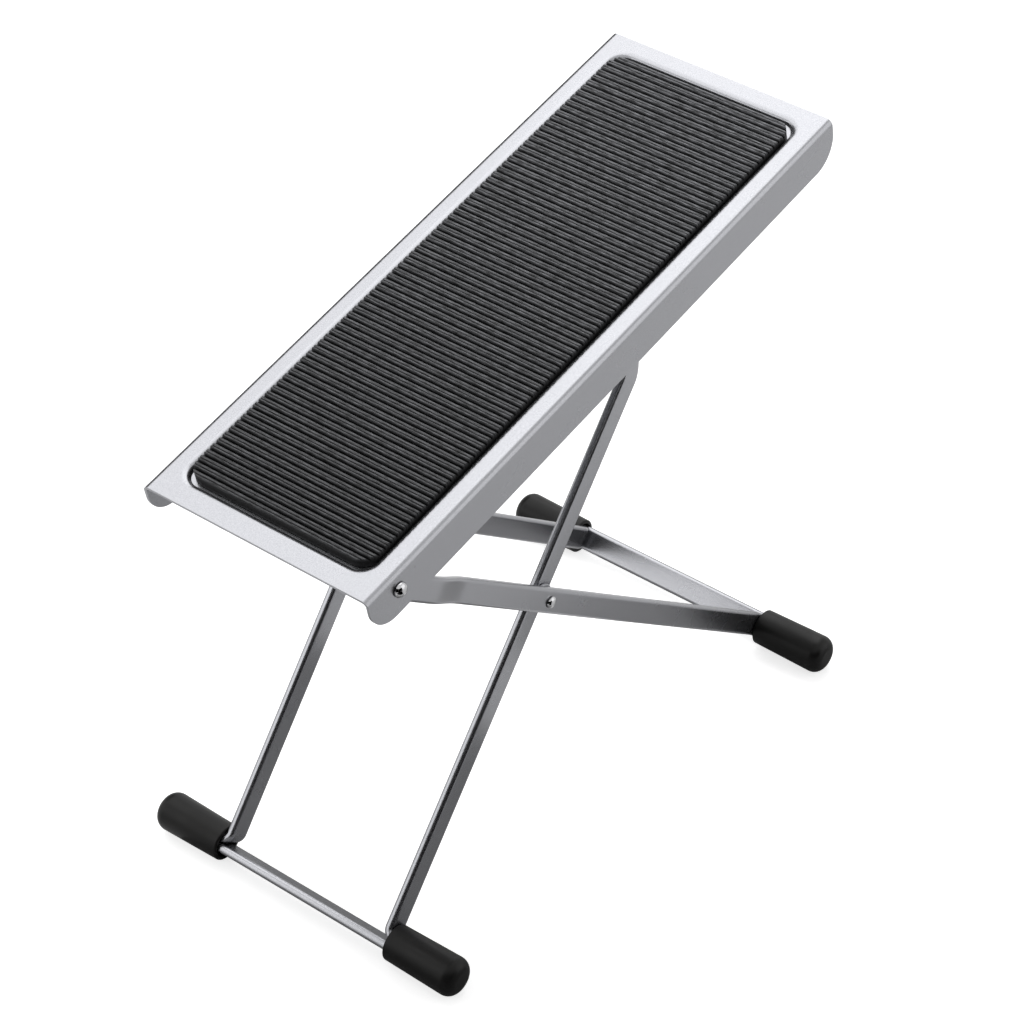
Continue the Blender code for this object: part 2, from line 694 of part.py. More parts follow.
outer_frame = empty("outer_frame", PIVOT, OUTER_SLOPE, PARTS)
inner_frame = empty("inner_frame", CROSS, -INNER_SLOPE, PARTS)
platform_frame = empty("platform_frame", PIVOT, -PLATFORM_TILT, PARTS)

make_platform(platform_frame)
make_mat(platform_frame)

for label, side in (("near", -1), ("far", 1)):
    make_rack(f"rack_{label}", side, platform_frame)
    make_outer_leg(f"outer_leg_{label}", side, outer_frame)
    make_inner_leg(f"inner_leg_{label}", side, inner_frame)
    make_rivet(
        f"pivot_rivet_{label}",
        headed_pin(
            PLATFORM_WIDTH / 2, LEG_PIVOT_FACE - STRIP,
            PIVOT_RIVET_SHANK, PIVOT_RIVET_HEAD, PIVOT_RIVET_DOME, side,
        ),
        platform_frame,
    )
    make_rivet(
        f"cross_rivet_{label}",
        headed_pin(
            OUTER_LEG_FACE, INNER_LEG_FACE - STRIP,
            CROSS_RIVET_SHANK, CROSS_RIVET_HEAD, CROSS_RIVET_DOME, side,
        ),
        inner_frame,
    )
    make_washer(f"cross_spacer_{label}", OUTER_LEG_FACE, side, outer_frame)
    outer_rivet = side * (OUTER_LEG_FACE + CORNER_RIVET_REACH)
    inner_rivet = side * (INNER_LEG_FACE + CORNER_RIVET_REACH)
    make_corner_rivet(f"outer_corner_rivet_{label}", PIVOT_TO_OUTER_FOOT, outer_rivet, outer_frame)
    make_corner_rivet(f"inner_corner_rivet_{label}", -CROSS_TO_INNER_FOOT, inner_rivet, inner_frame)
    make_foot(f"outer_foot_{label}", PIVOT_TO_OUTER_FOOT, OUTER_LEG_FACE, side, outer_frame)
    make_foot(f"inner_foot_{label}", -CROSS_TO_INNER_FOOT, INNER_LEG_FACE, side, inner_frame)

make_crossbar("outer_crossbar", OUTER_CROSS_BAR, OUTER_LEG_FACE, outer_frame)
make_crossbar("inner_crossbar", INNER_CROSS_BAR, INNER_LEG_FACE, inner_frame)
make_rod(inner_frame)

print("platform pivot", tuple(round(v, 6) for v in PIVOT))
print("frame crossing", tuple(round(v, 6) for v in CROSS))
print("platform tilt", round(PLATFORM_TILT / radians(1), 3), "degrees")
print("outer slope", round(OUTER_SLOPE / radians(1), 3), "degrees")
print("inner slope", round(INNER_SLOPE / radians(1), 3), "degrees")
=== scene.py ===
"""Folding guitar footrest at its highest step: finished pieces, finishes, floor, lights and camera.

Metres, +Z up, X along the platform with its low end at -X, -Y the near side.
"""

import json
from math import atan2, cos, pi, radians, sin

import bmesh
import bpy
from mathutils import Matrix, Vector


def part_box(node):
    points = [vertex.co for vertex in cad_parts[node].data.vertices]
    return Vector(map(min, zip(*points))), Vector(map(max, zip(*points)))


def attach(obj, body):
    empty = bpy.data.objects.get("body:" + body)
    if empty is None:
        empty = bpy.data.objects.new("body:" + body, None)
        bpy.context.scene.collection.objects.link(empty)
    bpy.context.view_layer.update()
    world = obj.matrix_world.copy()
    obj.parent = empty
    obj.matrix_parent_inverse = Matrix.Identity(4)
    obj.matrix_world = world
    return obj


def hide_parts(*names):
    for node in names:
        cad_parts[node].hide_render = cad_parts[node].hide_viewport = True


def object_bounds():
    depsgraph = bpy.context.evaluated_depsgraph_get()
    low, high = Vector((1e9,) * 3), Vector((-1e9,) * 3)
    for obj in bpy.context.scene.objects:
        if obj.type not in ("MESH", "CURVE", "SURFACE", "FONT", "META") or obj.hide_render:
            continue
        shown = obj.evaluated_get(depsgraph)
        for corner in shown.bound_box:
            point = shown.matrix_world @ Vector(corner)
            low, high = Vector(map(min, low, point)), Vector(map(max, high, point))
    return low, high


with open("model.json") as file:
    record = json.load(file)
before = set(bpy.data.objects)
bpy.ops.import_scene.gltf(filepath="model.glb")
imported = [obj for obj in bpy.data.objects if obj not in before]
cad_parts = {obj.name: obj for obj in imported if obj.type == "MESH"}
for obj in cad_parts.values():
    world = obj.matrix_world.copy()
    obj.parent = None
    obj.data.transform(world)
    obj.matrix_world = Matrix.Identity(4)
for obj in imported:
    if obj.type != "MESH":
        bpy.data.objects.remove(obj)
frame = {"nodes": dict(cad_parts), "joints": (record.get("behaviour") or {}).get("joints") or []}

CAD_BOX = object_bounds()

# Clearances
FIT = 0.0003
HOLE_FIT = 0.00025
WELD = 0.000001

# Platform sheet and its pressed tray
PLATFORM_LENGTH = 0.2870
PLATFORM_WIDTH = 0.1068
SHEET = 0.0012
SHEET_EDGE = 0.0003
BEND_RADIUS = 0.0028
FLANGE_DEPTH = 0.0186
FLANGE_CORNER = 0.0122
TRAY_LOW_MARGIN = 0.0090
TRAY_HIGH_MARGIN = 0.0075
TRAY_SIDE_MARGIN = 0.0084
TRAY_DEPTH = 0.0025
TRAY_CORNER = 0.0080
TRAY_SHOULDER_OUT = 0.0015
TRAY_SHOULDER_IN = 0.0015
TRAY_SHOULDER_HEIGHT = 0.0019
TRAY_FILLET = 0.0009

# Rubber mat
MAT_LOW_GAP = 0.0034
MAT_HIGH_GAP = 0.0037
MAT_SIDE_GAP = 0.0019
MAT_THICKNESS = 0.0044
MAT_CORNER = 0.0075
MAT_RIBS = 77
MAT_ROWS = 22
MAT_ROW_CROWDING = 2.5
MAT_EDGE_FALL = 0.0002
RIB_GROOVE = 0.0019
RIB_FLANK = 0.0010
RIB_LOW_FLANK = 0.0016
RIB_FINE_GROOVE = 0.0008
RIB_SHOULDER = 0.00035
RIB_ROUNDING = 0.00010

# Flat strip of both leg frames
STRIP_WIDTH = 0.0104
STRIP = 0.0037
STRIP_EDGE = 0.0015
STRIP_EDGE_SHARE = 0.42
TAB_BEND = 0.0017
TAB_REACH = 0.0220
CORNER_RIVET_REACH = 0.0130

# Along the outer leg from the pivot, and along the inner leg from the crossing
PIVOT_FROM_LOW_END = 0.0159
PIVOT_BELOW_TOP = 0.0080
PIVOT_TO_CROSS = 0.1179
PIVOT_TO_OUTER_FOOT = 0.3069
OUTER_JOG_START = 0.0263
OUTER_JOG_LENGTH = 0.0274
OUTER_JOG = 0.0033
CROSS_TO_INNER_FOOT = 0.1470
CROSS_TO_ROD = 0.1275
CROSS_SPACER = 0.0011
INNER_JOG_START = 0.0890
INNER_JOG_LENGTH = 0.0220
INNER_JOG = 0.0070
ROD_RADIUS = 0.0030
ROD_FROM_PIVOT = 0.1749
ROD_BELOW_PIVOT = 0.0069

# Rivets
PIVOT_RIVET_SHANK = 0.0020
PIVOT_RIVET_HEAD = 0.0031
PIVOT_RIVET_DOME = 0.0022
CROSS_RIVET_SHANK = 0.0016
CROSS_RIVET_HEAD = 0.0025
CROSS_RIVET_DOME = 0.0015
CORNER_RIVET_SHANK = 0.0013
TAIL_HEIGHT = 0.0010
TAIL_EDGE = 0.0003

# Rubber feet
FOOT_LENGTH = 0.0337
FOOT_INNER_RADIUS = 0.0078
FOOT_OUTER_RADIUS = 0.0083
FOOT_DOME = 0.0050
FOOT_RIM = 0.0007
FOOT_BORE = 0.0063
FOOT_END_WALL = 0.0050
FOOT_FROM_LEG = 0.0004

# Fineness of the shapes
ROUND = 72
SMALL_ROUND = 48
ARC = 10
EDGE_STEPS = 5
JOG_STEPS = 20
END_STEPS = 9
CRISP_ANGLE = radians(50)
BEVEL_ANGLE = radians(60)
MERGE_ANGLE = radians(1)
SMALL_EDGE = 0.00015
SMALL_EDGE_STEPS = 2
SHEET_EDGE_STEPS = 3

# Signs of a rectangle's four corners, and the angle at which the round of each one starts
CORNERS = ((1, 1, 0), (-1, 1, pi / 2), (-1, -1, pi), (1, -1, 3 * pi / 2))

# Places worked out from the frame and the sizes above
JOINT_PLACES = {joint["name"]: Vector(joint["pos_m"]) for joint in frame["joints"]}
PIVOT = JOINT_PLACES["platform_fold"]
CROSS = JOINT_PLACES["frame_fold"]
ROD_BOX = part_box("top_rod")
ROD = (ROD_BOX[0] + ROD_BOX[1]) / 2
OUTER_SLOPE = atan2(PIVOT.z - CROSS.z, CROSS.x - PIVOT.x)
INNER_SLOPE = atan2(ROD.z - CROSS.z, ROD.x - CROSS.x)
PLATFORM_TILT = atan2(ROD.z - PIVOT.z, ROD.x - PIVOT.x) + atan2(ROD_BELOW_PIVOT, ROD_FROM_PIVOT)
OUTER_FRAME = Matrix.Translation(PIVOT) @ Matrix.Rotation(OUTER_SLOPE, 4, "Y")
INNER_FRAME = Matrix.Translation(CROSS) @ Matrix.Rotation(-INNER_SLOPE, 4, "Y")
PLATFORM_FRAME = Matrix.Translation(PIVOT) @ Matrix.Rotation(-PLATFORM_TILT, 4, "Y")

LEG_PIVOT_FACE = PLATFORM_WIDTH / 2 - SHEET - FIT
OUTER_LEG_FACE = LEG_PIVOT_FACE - OUTER_JOG
INNER_LEG_FACE = OUTER_LEG_FACE - STRIP - FIT - CROSS_SPACER - FIT
ROD_LEG_FACE = INNER_LEG_FACE - INNER_JOG
OUTER_CROSS_BAR = PIVOT_TO_OUTER_FOOT + FIT / 2 + STRIP / 2
OUTER_TAB = PIVOT_TO_OUTER_FOOT - FIT / 2 - STRIP / 2
INNER_CROSS_BAR = -CROSS_TO_INNER_FOOT - FIT / 2 - STRIP / 2
INNER_TAB = -CROSS_TO_INNER_FOOT + FIT / 2 + STRIP / 2

PLATE_LOW = -PIVOT_FROM_LOW_END
PLATE_HIGH = PLATE_LOW + PLATFORM_LENGTH
PLATE_TOP = PIVOT_BELOW_TOP
PLATE_HALF_WIDTH = PLATFORM_WIDTH / 2 - BEND_RADIUS
TRAY_LOW = PLATE_LOW + TRAY_LOW_MARGIN
TRAY_HIGH = PLATE_HIGH - TRAY_HIGH_MARGIN
TRAY_CENTRE = (TRAY_HIGH + TRAY_LOW) / 2
TRAY_HALF_LENGTH = (TRAY_HIGH - TRAY_LOW) / 2
TRAY_HALF_WIDTH = PLATFORM_WIDTH / 2 - TRAY_SIDE_MARGIN
MAT_LOW = TRAY_LOW + MAT_LOW_GAP
MAT_HIGH = TRAY_HIGH - MAT_HIGH_GAP
MAT_HALF_WIDTH = TRAY_HALF_WIDTH - MAT_SIDE_GAP
MAT_BOTTOM = PLATE_TOP - TRAY_DEPTH + FIT
MAT_TOP = PLATE_TOP - TRAY_DEPTH + MAT_THICKNESS


# Finishes: effects shared by several of them

# Detail and roughness of the noise in two of the effects
GRAIN_NOISE = (3, 0.6)
HANDLING_NOISE = (4, 0.55)


def effect(name, inputs, outputs):
    """An empty shader group with named inputs of (name, kind, value) and outputs of (name, kind)."""
    group = bpy.data.node_groups.new(name, "ShaderNodeTree")
    for label, kind, value in inputs:
        socket = group.interface.new_socket(label, in_out="INPUT", socket_type=kind)
        socket.default_value = value
    for label, kind in outputs:
        group.interface.new_socket(label, in_out="OUTPUT", socket_type=kind)
    start = group.nodes.new("NodeGroupInput")
    end = group.nodes.new("NodeGroupOutput")
    return group, start, end


def join(tree, source, target):
    """Links a node's output to an input, or sets the input to a plain value."""
    if isinstance(source, bpy.types.NodeSocket):
        tree.links.new(source, target)
    else:
        target.default_value = source


def maths(tree, operation, *values, clamp=False):
    """A Math node whose inputs are sockets or plain numbers; returns its output."""
    node = tree.nodes.new("ShaderNodeMath")
    node.operation = operation
    node.use_clamp = clamp
    for value, socket in zip(values, node.inputs):
        join(tree, value, socket)
    return node.outputs[0]


def noise(tree, vector, scale, detail, roughness):
    node = tree.nodes.new("ShaderNodeTexNoise")
    join(tree, vector, node.inputs["Vector"])
    join(tree, scale, node.inputs["Scale"])
    join(tree, detail, node.inputs["Detail"])
    join(tree, roughness, node.inputs["Roughness"])
    return node.outputs["Fac"]


def grain_effect():
    """Fine sparkle of flake paint or rubber bloom: a tint that swings round 1, and a height."""
    group, start, end = effect(
        "fine_grain",
        [
            ("Vector", "NodeSocketVector", (0, 0, 0)),
            ("Grains per Metre", "NodeSocketFloat", 2500),
            ("Depth of Tint", "NodeSocketFloat", 0.1),
        ],
        [("Tint", "NodeSocketFloat"), ("Height", "NodeSocketFloat")],
    )
    fine = noise(group, start.outputs["Vector"], start.outputs["Grains per Metre"], *GRAIN_NOISE)
    centred = maths(group, "SUBTRACT", fine, 0.5)
    swing = maths(group, "MULTIPLY", centred, start.outputs["Depth of Tint"])
    join(group, maths(group, "ADD", maths(group, "MULTIPLY", swing, 2), 1), end.inputs["Tint"])
    join(group, fine, end.inputs["Height"])
    return group


def handling_effect():
    """Slow patches left by handling and cleaning, as a value that swings round 0."""
    group, start, end = effect(
        "handling_patches",
        [
            ("Vector", "NodeSocketVector", (0, 0, 0)),
            ("Patches per Metre", "NodeSocketFloat", 25),
            ("Strength", "NodeSocketFloat", 0.05),
        ],
        [("Change", "NodeSocketFloat")],
    )
    slow = noise(group, start.outputs["Vector"], start.outputs["Patches per Metre"], *HANDLING_NOISE)
    centred = maths(group, "SUBTRACT", slow, 0.5)
    change = maths(group, "MULTIPLY", centred, start.outputs["Strength"])
    join(group, maths(group, "MULTIPLY", change, 2), end.inputs["Change"])
    return group


def dust_effect():
    """Sparse pale specks: a mask that is 1 on a speck."""
    group, start, end = effect(
        "dust_specks",
        [
            ("Vector", "NodeSocketVector", (0, 0, 0)),
            ("Cells per Metre", "NodeSocketFloat", 160),
            ("Speck Size", "NodeSocketFloat", 0.05),
            ("Share of Cells", "NodeSocketFloat", 0.2),
        ],
        [("Mask", "NodeSocketFloat")],
    )
    cells = group.nodes.new("ShaderNodeTexVoronoi")
    join(group, start.outputs["Vector"], cells.inputs["Vector"])
    join(group, start.outputs["Cells per Metre"], cells.inputs["Scale"])
    near = maths(group, "LESS_THAN", cells.outputs["Distance"], start.outputs["Speck Size"])
    pick = group.nodes.new("ShaderNodeSeparateColor")
    join(group, cells.outputs["Color"], pick.inputs["Color"])
    chosen = maths(group, "LESS_THAN", pick.outputs["Red"], start.outputs["Share of Cells"])
    join(group, maths(group, "MULTIPLY", near, chosen), end.inputs["Mask"])
    return group


EFFECTS = {
    "grain": grain_effect(),
    "handling": handling_effect(),
    "dust": dust_effect(),
}


def use(tree, effect_name, vector, **values):
    """Places an effect group in a material; values are given by socket name with _ for spaces."""
    node = tree.nodes.new("ShaderNodeGroup")
    node.node_tree = EFFECTS[effect_name]
    join(tree, vector, node.inputs["Vector"])
    for label, value in values.items():
        join(tree, value, node.inputs[label.replace("_", " ")])
    return node


def base_finish(name, metallic, specular):
    """A new material, its tree and shader, and the object coordinates that its patterns follow."""
    made = bpy.data.materials.new(name)
    made.use_nodes = True
    tree = made.node_tree
    shader = tree.nodes["Principled BSDF"]
    shader.inputs["Metallic"].default_value = metallic
    shader.inputs["Specular IOR Level"].default_value = specular
    coordinates = tree.nodes.new("ShaderNodeTexCoord")
    return made, tree, shader, coordinates.outputs["Object"]


def mix_colours(tree, blend_type, factor, first, second):
    """A Mix node of two colours, which are sockets or plain colours; returns its output."""
    node = tree.nodes.new("ShaderNodeMix")
    node.data_type = "RGBA"
    node.blend_type = blend_type
    join(tree, factor, node.inputs["Factor"])
    colours = [socket for socket in node.inputs if socket.type == "RGBA"]
    join(tree, first, colours[0])
    join(tree, second, colours[1])
    return next(socket for socket in node.outputs if socket.type == "RGBA")


def bump(tree, shader, height, strength, distance):
    node = tree.nodes.new("ShaderNodeBump")
    node.inputs["Strength"].default_value = strength
    node.inputs["Distance"].default_value = distance
    join(tree, height, node.inputs["Height"])
    join(tree, node.outputs["Normal"], shader.inputs["Normal"])


# Finishes of one colour under fine grain and handling patches. Grains and patches are counted per
# metre, and a patch moves the roughness by up to patch_change either way.
EVEN_FINISHES = {
    "silver_paint": {
        "name": "satin_silver_paint", "colour": (0.334, 0.337, 0.355, 1), "metallic": 0.96,
        "specular": 0.5, "roughness": 0.27, "grains": 2100, "grain_tint": 0.24,
        "patches": 30, "patch_change": 0.03, "bump_strength": 0.18, "bump_height": 0.00004,
    },
    "black_rubber": {
        "name": "moulded_black_rubber", "colour": (0.0045, 0.0043, 0.0040, 1), "metallic": 0,
        "specular": 0.20, "roughness": 0.40, "grains": 1800, "grain_tint": 0.35,
        "patches": 90, "patch_change": 0.14, "bump_strength": 0.2, "bump_height": 0.00004,
    },
    "bright_rivet": {
        "name": "bright_nickel_rivet", "colour": (0.52, 0.52, 0.53, 1), "metallic": 1,
        "specular": 0.5, "roughness": 0.15, "grains": 1500, "grain_tint": 0.05,
        "patches": 120, "patch_change": 0.06, "bump_strength": 0.12, "bump_height": 0.00003,
    },
    "zinc_steel": {
        "name": "zinc_plated_steel", "colour": (0.52, 0.52, 0.54, 1), "metallic": 1,
        "specular": 0.5, "roughness": 0.33, "grains": 1500, "grain_tint": 0.16,
        "patches": 120, "patch_change": 0.06, "bump_strength": 0.12, "bump_height": 0.00003,
    },
}


def even_finish(
    name, colour, metallic, specular, roughness, grains, grain_tint,
    patches, patch_change, bump_strength, bump_height,
):
    """Satin paint, moulded rubber or plated steel."""
    made, tree, shader, place = base_finish(name, metallic, specular)
    grain = use(tree, "grain", place, Grains_per_Metre=grains, Depth_of_Tint=grain_tint)
    patch = use(tree, "handling", place, Patches_per_Metre=patches, Strength=patch_change)
    tinted = mix_colours(tree, "MULTIPLY", 1, colour, grain.outputs["Tint"])
    join(tree, tinted, shader.inputs["Base Color"])
    join(tree, maths(tree, "ADD", patch.outputs["Change"], roughness), shader.inputs["Roughness"])
    bump(tree, shader, grain.outputs["Height"], bump_strength, bump_height)
    return made


# Rubber of the mat: streaks are the fibres of its worn crowns
RUBBER_COLOUR = (0.006, 0.006, 0.0062, 1)
# Pale colour of the crowns: worn rubber bloom, and painted light where the crowns catch it
RUBBER_BLOOM_AND_LIGHT = (0.252, 0.256, 0.272, 1)
RUBBER_SPECULAR = 0.30
RUBBER_ROUGHNESS = 0.52
RUBBER_PATCHES = 60
RUBBER_PATCH_CHANGE = 0.12
RUBBER_BUMP_STRENGTH = 0.35
RUBBER_BUMP_HEIGHT = 0.00006
STREAKS = 3200
STREAK_STRETCH = 0.08
STREAK_FLOOR = 0.36
STREAK_GAIN = 2.6
# Depth under the crowns over which the pale colour fades to black: worn crowns, and painted shade in the
# grooves and on the walls below them
CROWN_WEAR_AND_SHADE_DEPTH = 0.0013
# Painted light: the crowns' pale colour is scaled from the low end to the high end, lighter where more
# light falls
CROWN_LIGHT_AT_LOW_END = 0.62
CROWN_LIGHT_AT_HIGH_END = 1.5
DUST_COLOUR = (0.42, 0.42, 0.42, 1)
DUST_CELLS = 120
DUST_SPECK_SIZE = 0.035
DUST_CELL_SHARE = 0.08


def along_platform(tree, place, direction, start, end):
    """How far a point lies along one of the platform's directions: 0 at start, 1 at end."""
    dot = tree.nodes.new("ShaderNodeVectorMath")
    dot.operation = "DOT_PRODUCT"
    join(tree, place, dot.inputs[0])
    dot.inputs[1].default_value = direction
    from_start = maths(tree, "SUBTRACT", dot.outputs["Value"], PIVOT.dot(direction) + start)
    return maths(tree, "DIVIDE", from_start, end - start, clamp=True)


def ribbed_rubber():
    """The mat's rubber: black in the grooves, with a worn grey bloom and dust specks on the crowns. The
    black of the grooves and walls is partly painted shade, and the crowns are painted lighter towards the
    high end.
    """
    made, tree, shader, place = base_finish("ribbed_black_rubber", 0, RUBBER_SPECULAR)
    up = PLATFORM_FRAME.to_3x3() @ Vector((0, 0, 1))
    onwards = PLATFORM_FRAME.to_3x3() @ Vector((1, 0, 0))
    # Painted shade: the pale colour fades out in a band under the crowns, so the grooves and walls stay
    # black; the crowns themselves carry worn bloom
    crown = along_platform(tree, place, up, MAT_TOP - CROWN_WEAR_AND_SHADE_DEPTH, MAT_TOP)
    run = along_platform(tree, place, onwards, MAT_LOW, MAT_HIGH)
    # Painted light: the crowns grow lighter from the low end to the high end
    light_along_mat = maths(tree, "MULTIPLY_ADD", run, CROWN_LIGHT_AT_HIGH_END - CROWN_LIGHT_AT_LOW_END, CROWN_LIGHT_AT_LOW_END)
    stretch = tree.nodes.new("ShaderNodeMapping")
    stretch.inputs["Scale"].default_value = (1, STREAK_STRETCH, 1)
    join(tree, place, stretch.inputs["Vector"])
    streaks = use(tree, "grain", stretch.outputs["Vector"], Grains_per_Metre=STREAKS)
    over_floor = maths(tree, "SUBTRACT", streaks.outputs["Height"], STREAK_FLOOR)
    streaky = maths(tree, "MULTIPLY", over_floor, STREAK_GAIN, clamp=True)
    bloom_and_light = maths(tree, "MULTIPLY", maths(tree, "MULTIPLY", streaky, crown), light_along_mat)
    body = mix_colours(tree, "MIX", bloom_and_light, RUBBER_COLOUR, RUBBER_BLOOM_AND_LIGHT)
    specks = use(
        tree, "dust", place,
        Cells_per_Metre=DUST_CELLS, Speck_Size=DUST_SPECK_SIZE, Share_of_Cells=DUST_CELL_SHARE,
    )
    dusty = mix_colours(tree, "MIX", specks.outputs["Mask"], body, DUST_COLOUR)
    join(tree, dusty, shader.inputs["Base Color"])
    patch = use(
        tree, "handling", place, Patches_per_Metre=RUBBER_PATCHES, Strength=RUBBER_PATCH_CHANGE,
    )
    rough = maths(tree, "ADD", patch.outputs["Change"], RUBBER_ROUGHNESS)
    join(tree, rough, shader.inputs["Roughness"])
    bump(tree, shader, streaks.outputs["Height"], RUBBER_BUMP_STRENGTH, RUBBER_BUMP_HEIGHT)
    return made


FINISH = {slot: even_finish(**look) for slot, look in EVEN_FINISHES.items()}
FINISH["mat_rubber"] = ribbed_rubber()
SLOTS = {slot: slot for slot in EVEN_FINISHES}
SLOTS["mat_rubber"] = "black_rubber"


# Shapes

def arc(centre, radius, start, end, steps):
    """Points of an arc from one angle to another, in even steps."""
    turns = (start + (end - start) * i / steps for i in range(steps + 1))
    return [(centre[0] + radius * cos(t), centre[1] + radius * sin(t)) for t in turns]


def prism(outline, axis, low, high):
    """An outline of the two other axes, in their order, drawn out along one axis."""
    mesh = bmesh.new()
    rings = []
    for along in (low, high):
        ring = []
        for point in outline:
            place = list(point)
            place.insert("XYZ".index(axis), along)
            ring.append(mesh.verts.new(place))
        rings.append(ring)
    mesh.faces.new(rings[0])
    mesh.faces.new(reversed(rings[1]))
    join_rings(mesh, *rings)
    return mesh


def join_rings(mesh, first, second):
    """A band of faces between two closed rings of as many vertices."""
    size = len(first)
    for i in range(size):
        j = (i + 1) % size
        mesh.faces.new((first[i], first[j], second[j], second[i]))


def lathe(profile, axis="Y", offset=(0, 0, 0), steps=ROUND):
    """A profile of (along, radius) points turned about an axis; radius 0 closes on the axis."""
    mesh = bmesh.new()
    index = "XYZ".index(axis)
    rings = []
    for along, radius in profile:
        ring = []
        for i in range(steps if radius else 1):
            turn = 2 * pi * i / steps
            place = [radius * cos(turn), radius * sin(turn)]
            place.insert(index, along)
            ring.append(mesh.verts.new(Vector(place) + Vector(offset)))
        rings.append(ring)
    for first, second in zip(rings, rings[1:]):
        for i in range(steps):
            j = (i + 1) % steps
            corners = [first[i % len(first)], first[j % len(first)]]
            corners += [second[j % len(second)], second[i % len(second)]]
            mesh.faces.new(list(dict.fromkeys(corners)))
    return mesh


def pin(radius, low, high, axis, offset):
    return lathe([(low, 0), (low, radius), (high, radius), (high, 0)], axis, offset, SMALL_ROUND)


def stand(name, data):
    """A new object at the origin for some finished data."""
    made = bpy.data.objects.new(name, data)
    bpy.context.scene.collection.objects.link(made)
    return made


def as_data(name, mesh, material=None):
    """Turns a bmesh into mesh data, in one material where that is given."""
    data = bpy.data.meshes.new(name)
    mesh.to_mesh(data)
    mesh.free()
    if material:
        data.materials.append(material)
    return data


def new_piece(name, mesh, place, finish):
    """A shape welded, turned outwards and moved to its place on the object, in its finish."""
    bmesh.ops.remove_doubles(mesh, verts=mesh.verts, dist=WELD)
    bmesh.ops.recalc_face_normals(mesh, faces=mesh.faces)
    mesh.transform(place)
    return stand(name, as_data(name, mesh, FINISH[finish]))


def settle(piece):
    """Turns a piece's modifiers into its plain mesh."""
    graph = bpy.context.evaluated_depsgraph_get()
    done = bpy.data.meshes.new_from_object(piece.evaluated_get(graph), depsgraph=graph)
    old = piece.data
    piece.modifiers.clear()
    piece.data = done
    bpy.data.meshes.remove(old)


def cut(piece, tools):
    """Takes the tools' shapes out of a piece, and clears the tools away."""
    for tool in tools:
        step = piece.modifiers.new("cut", "BOOLEAN")
        step.object = tool
        step.operation = "DIFFERENCE"
        step.solver = "EXACT"
    settle(piece)
    for tool in tools:
        bpy.data.objects.remove(tool)


def drill(piece, holes, place):
    """Cuts round holes; each is (radius, low, high, axis, offset) in the piece's own frame."""
    cut(piece, [
        new_piece("hole", pin(radius + HOLE_FIT, low, high, axis, offset), place, "zinc_steel")
        for radius, low, high, axis, offset in holes
    ])


def soften(piece, width, steps):
    """Rounds the crisp edges of a piece by a small radius."""
    step = piece.modifiers.new("edge", "BEVEL")
    step.width = width
    step.segments = steps
    step.limit_method = "ANGLE"
    step.angle_limit = BEVEL_ANGLE
    step.use_clamp_overlap = True
    settle(piece)


def smooth(piece):
    """Smooth shading that keeps broad faces flat and sharp edges crisp."""
    piece.data.shade_smooth()
    piece.data.set_sharp_from_angle(angle=CRISP_ANGLE)
    step = piece.modifiers.new("flat_faces", "WEIGHTED_NORMAL")
    step.keep_sharp = True
    settle(piece)


def fit(piece, body, nodes):
    """Joins a finished piece to its body, in place of its plain solids."""
    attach(piece, body)
    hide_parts(*nodes)


# Platform sheet

def tray_corners():
    """Steps round the tray's four corners: the corner's signs, the middle of its round, the angle."""
    for sign_x, sign_y, start in CORNERS:
        x = TRAY_CENTRE + sign_x * (TRAY_HALF_LENGTH - TRAY_CORNER)
        y = sign_y * (TRAY_HALF_WIDTH - TRAY_CORNER)
        for i in range(ARC + 1):
            yield sign_x, sign_y, x, y, start + pi / 2 * i / ARC


def tray_ring(mesh, offset, height):
    """The tray's outline at one height, set outwards by an offset."""
    radius = TRAY_CORNER + offset
    return [
        mesh.verts.new((x + radius * cos(turn), y + radius * sin(turn), height))
        for _, _, x, y, turn in tray_corners()
    ]


def plate_ring(mesh):
    """The flat plate's rectangle, with one vertex for each vertex of a tray ring."""
    ring = []
    for sign_x, sign_y, x, y, turn in tray_corners():
        edge_x = PLATE_HIGH if sign_x > 0 else PLATE_LOW
        reach_x, reach_y = abs(edge_x - x), PLATE_HALF_WIDTH - abs(y)
        across, up = abs(cos(turn)), abs(sin(turn))
        if across >= up:
            place = (edge_x, y + sign_y * reach_y * up / across, PLATE_TOP)
        else:
            place = (x + sign_x * reach_x * across / up, sign_y * PLATE_HALF_WIDTH, PLATE_TOP)
        ring.append(mesh.verts.new(place))
    return ring


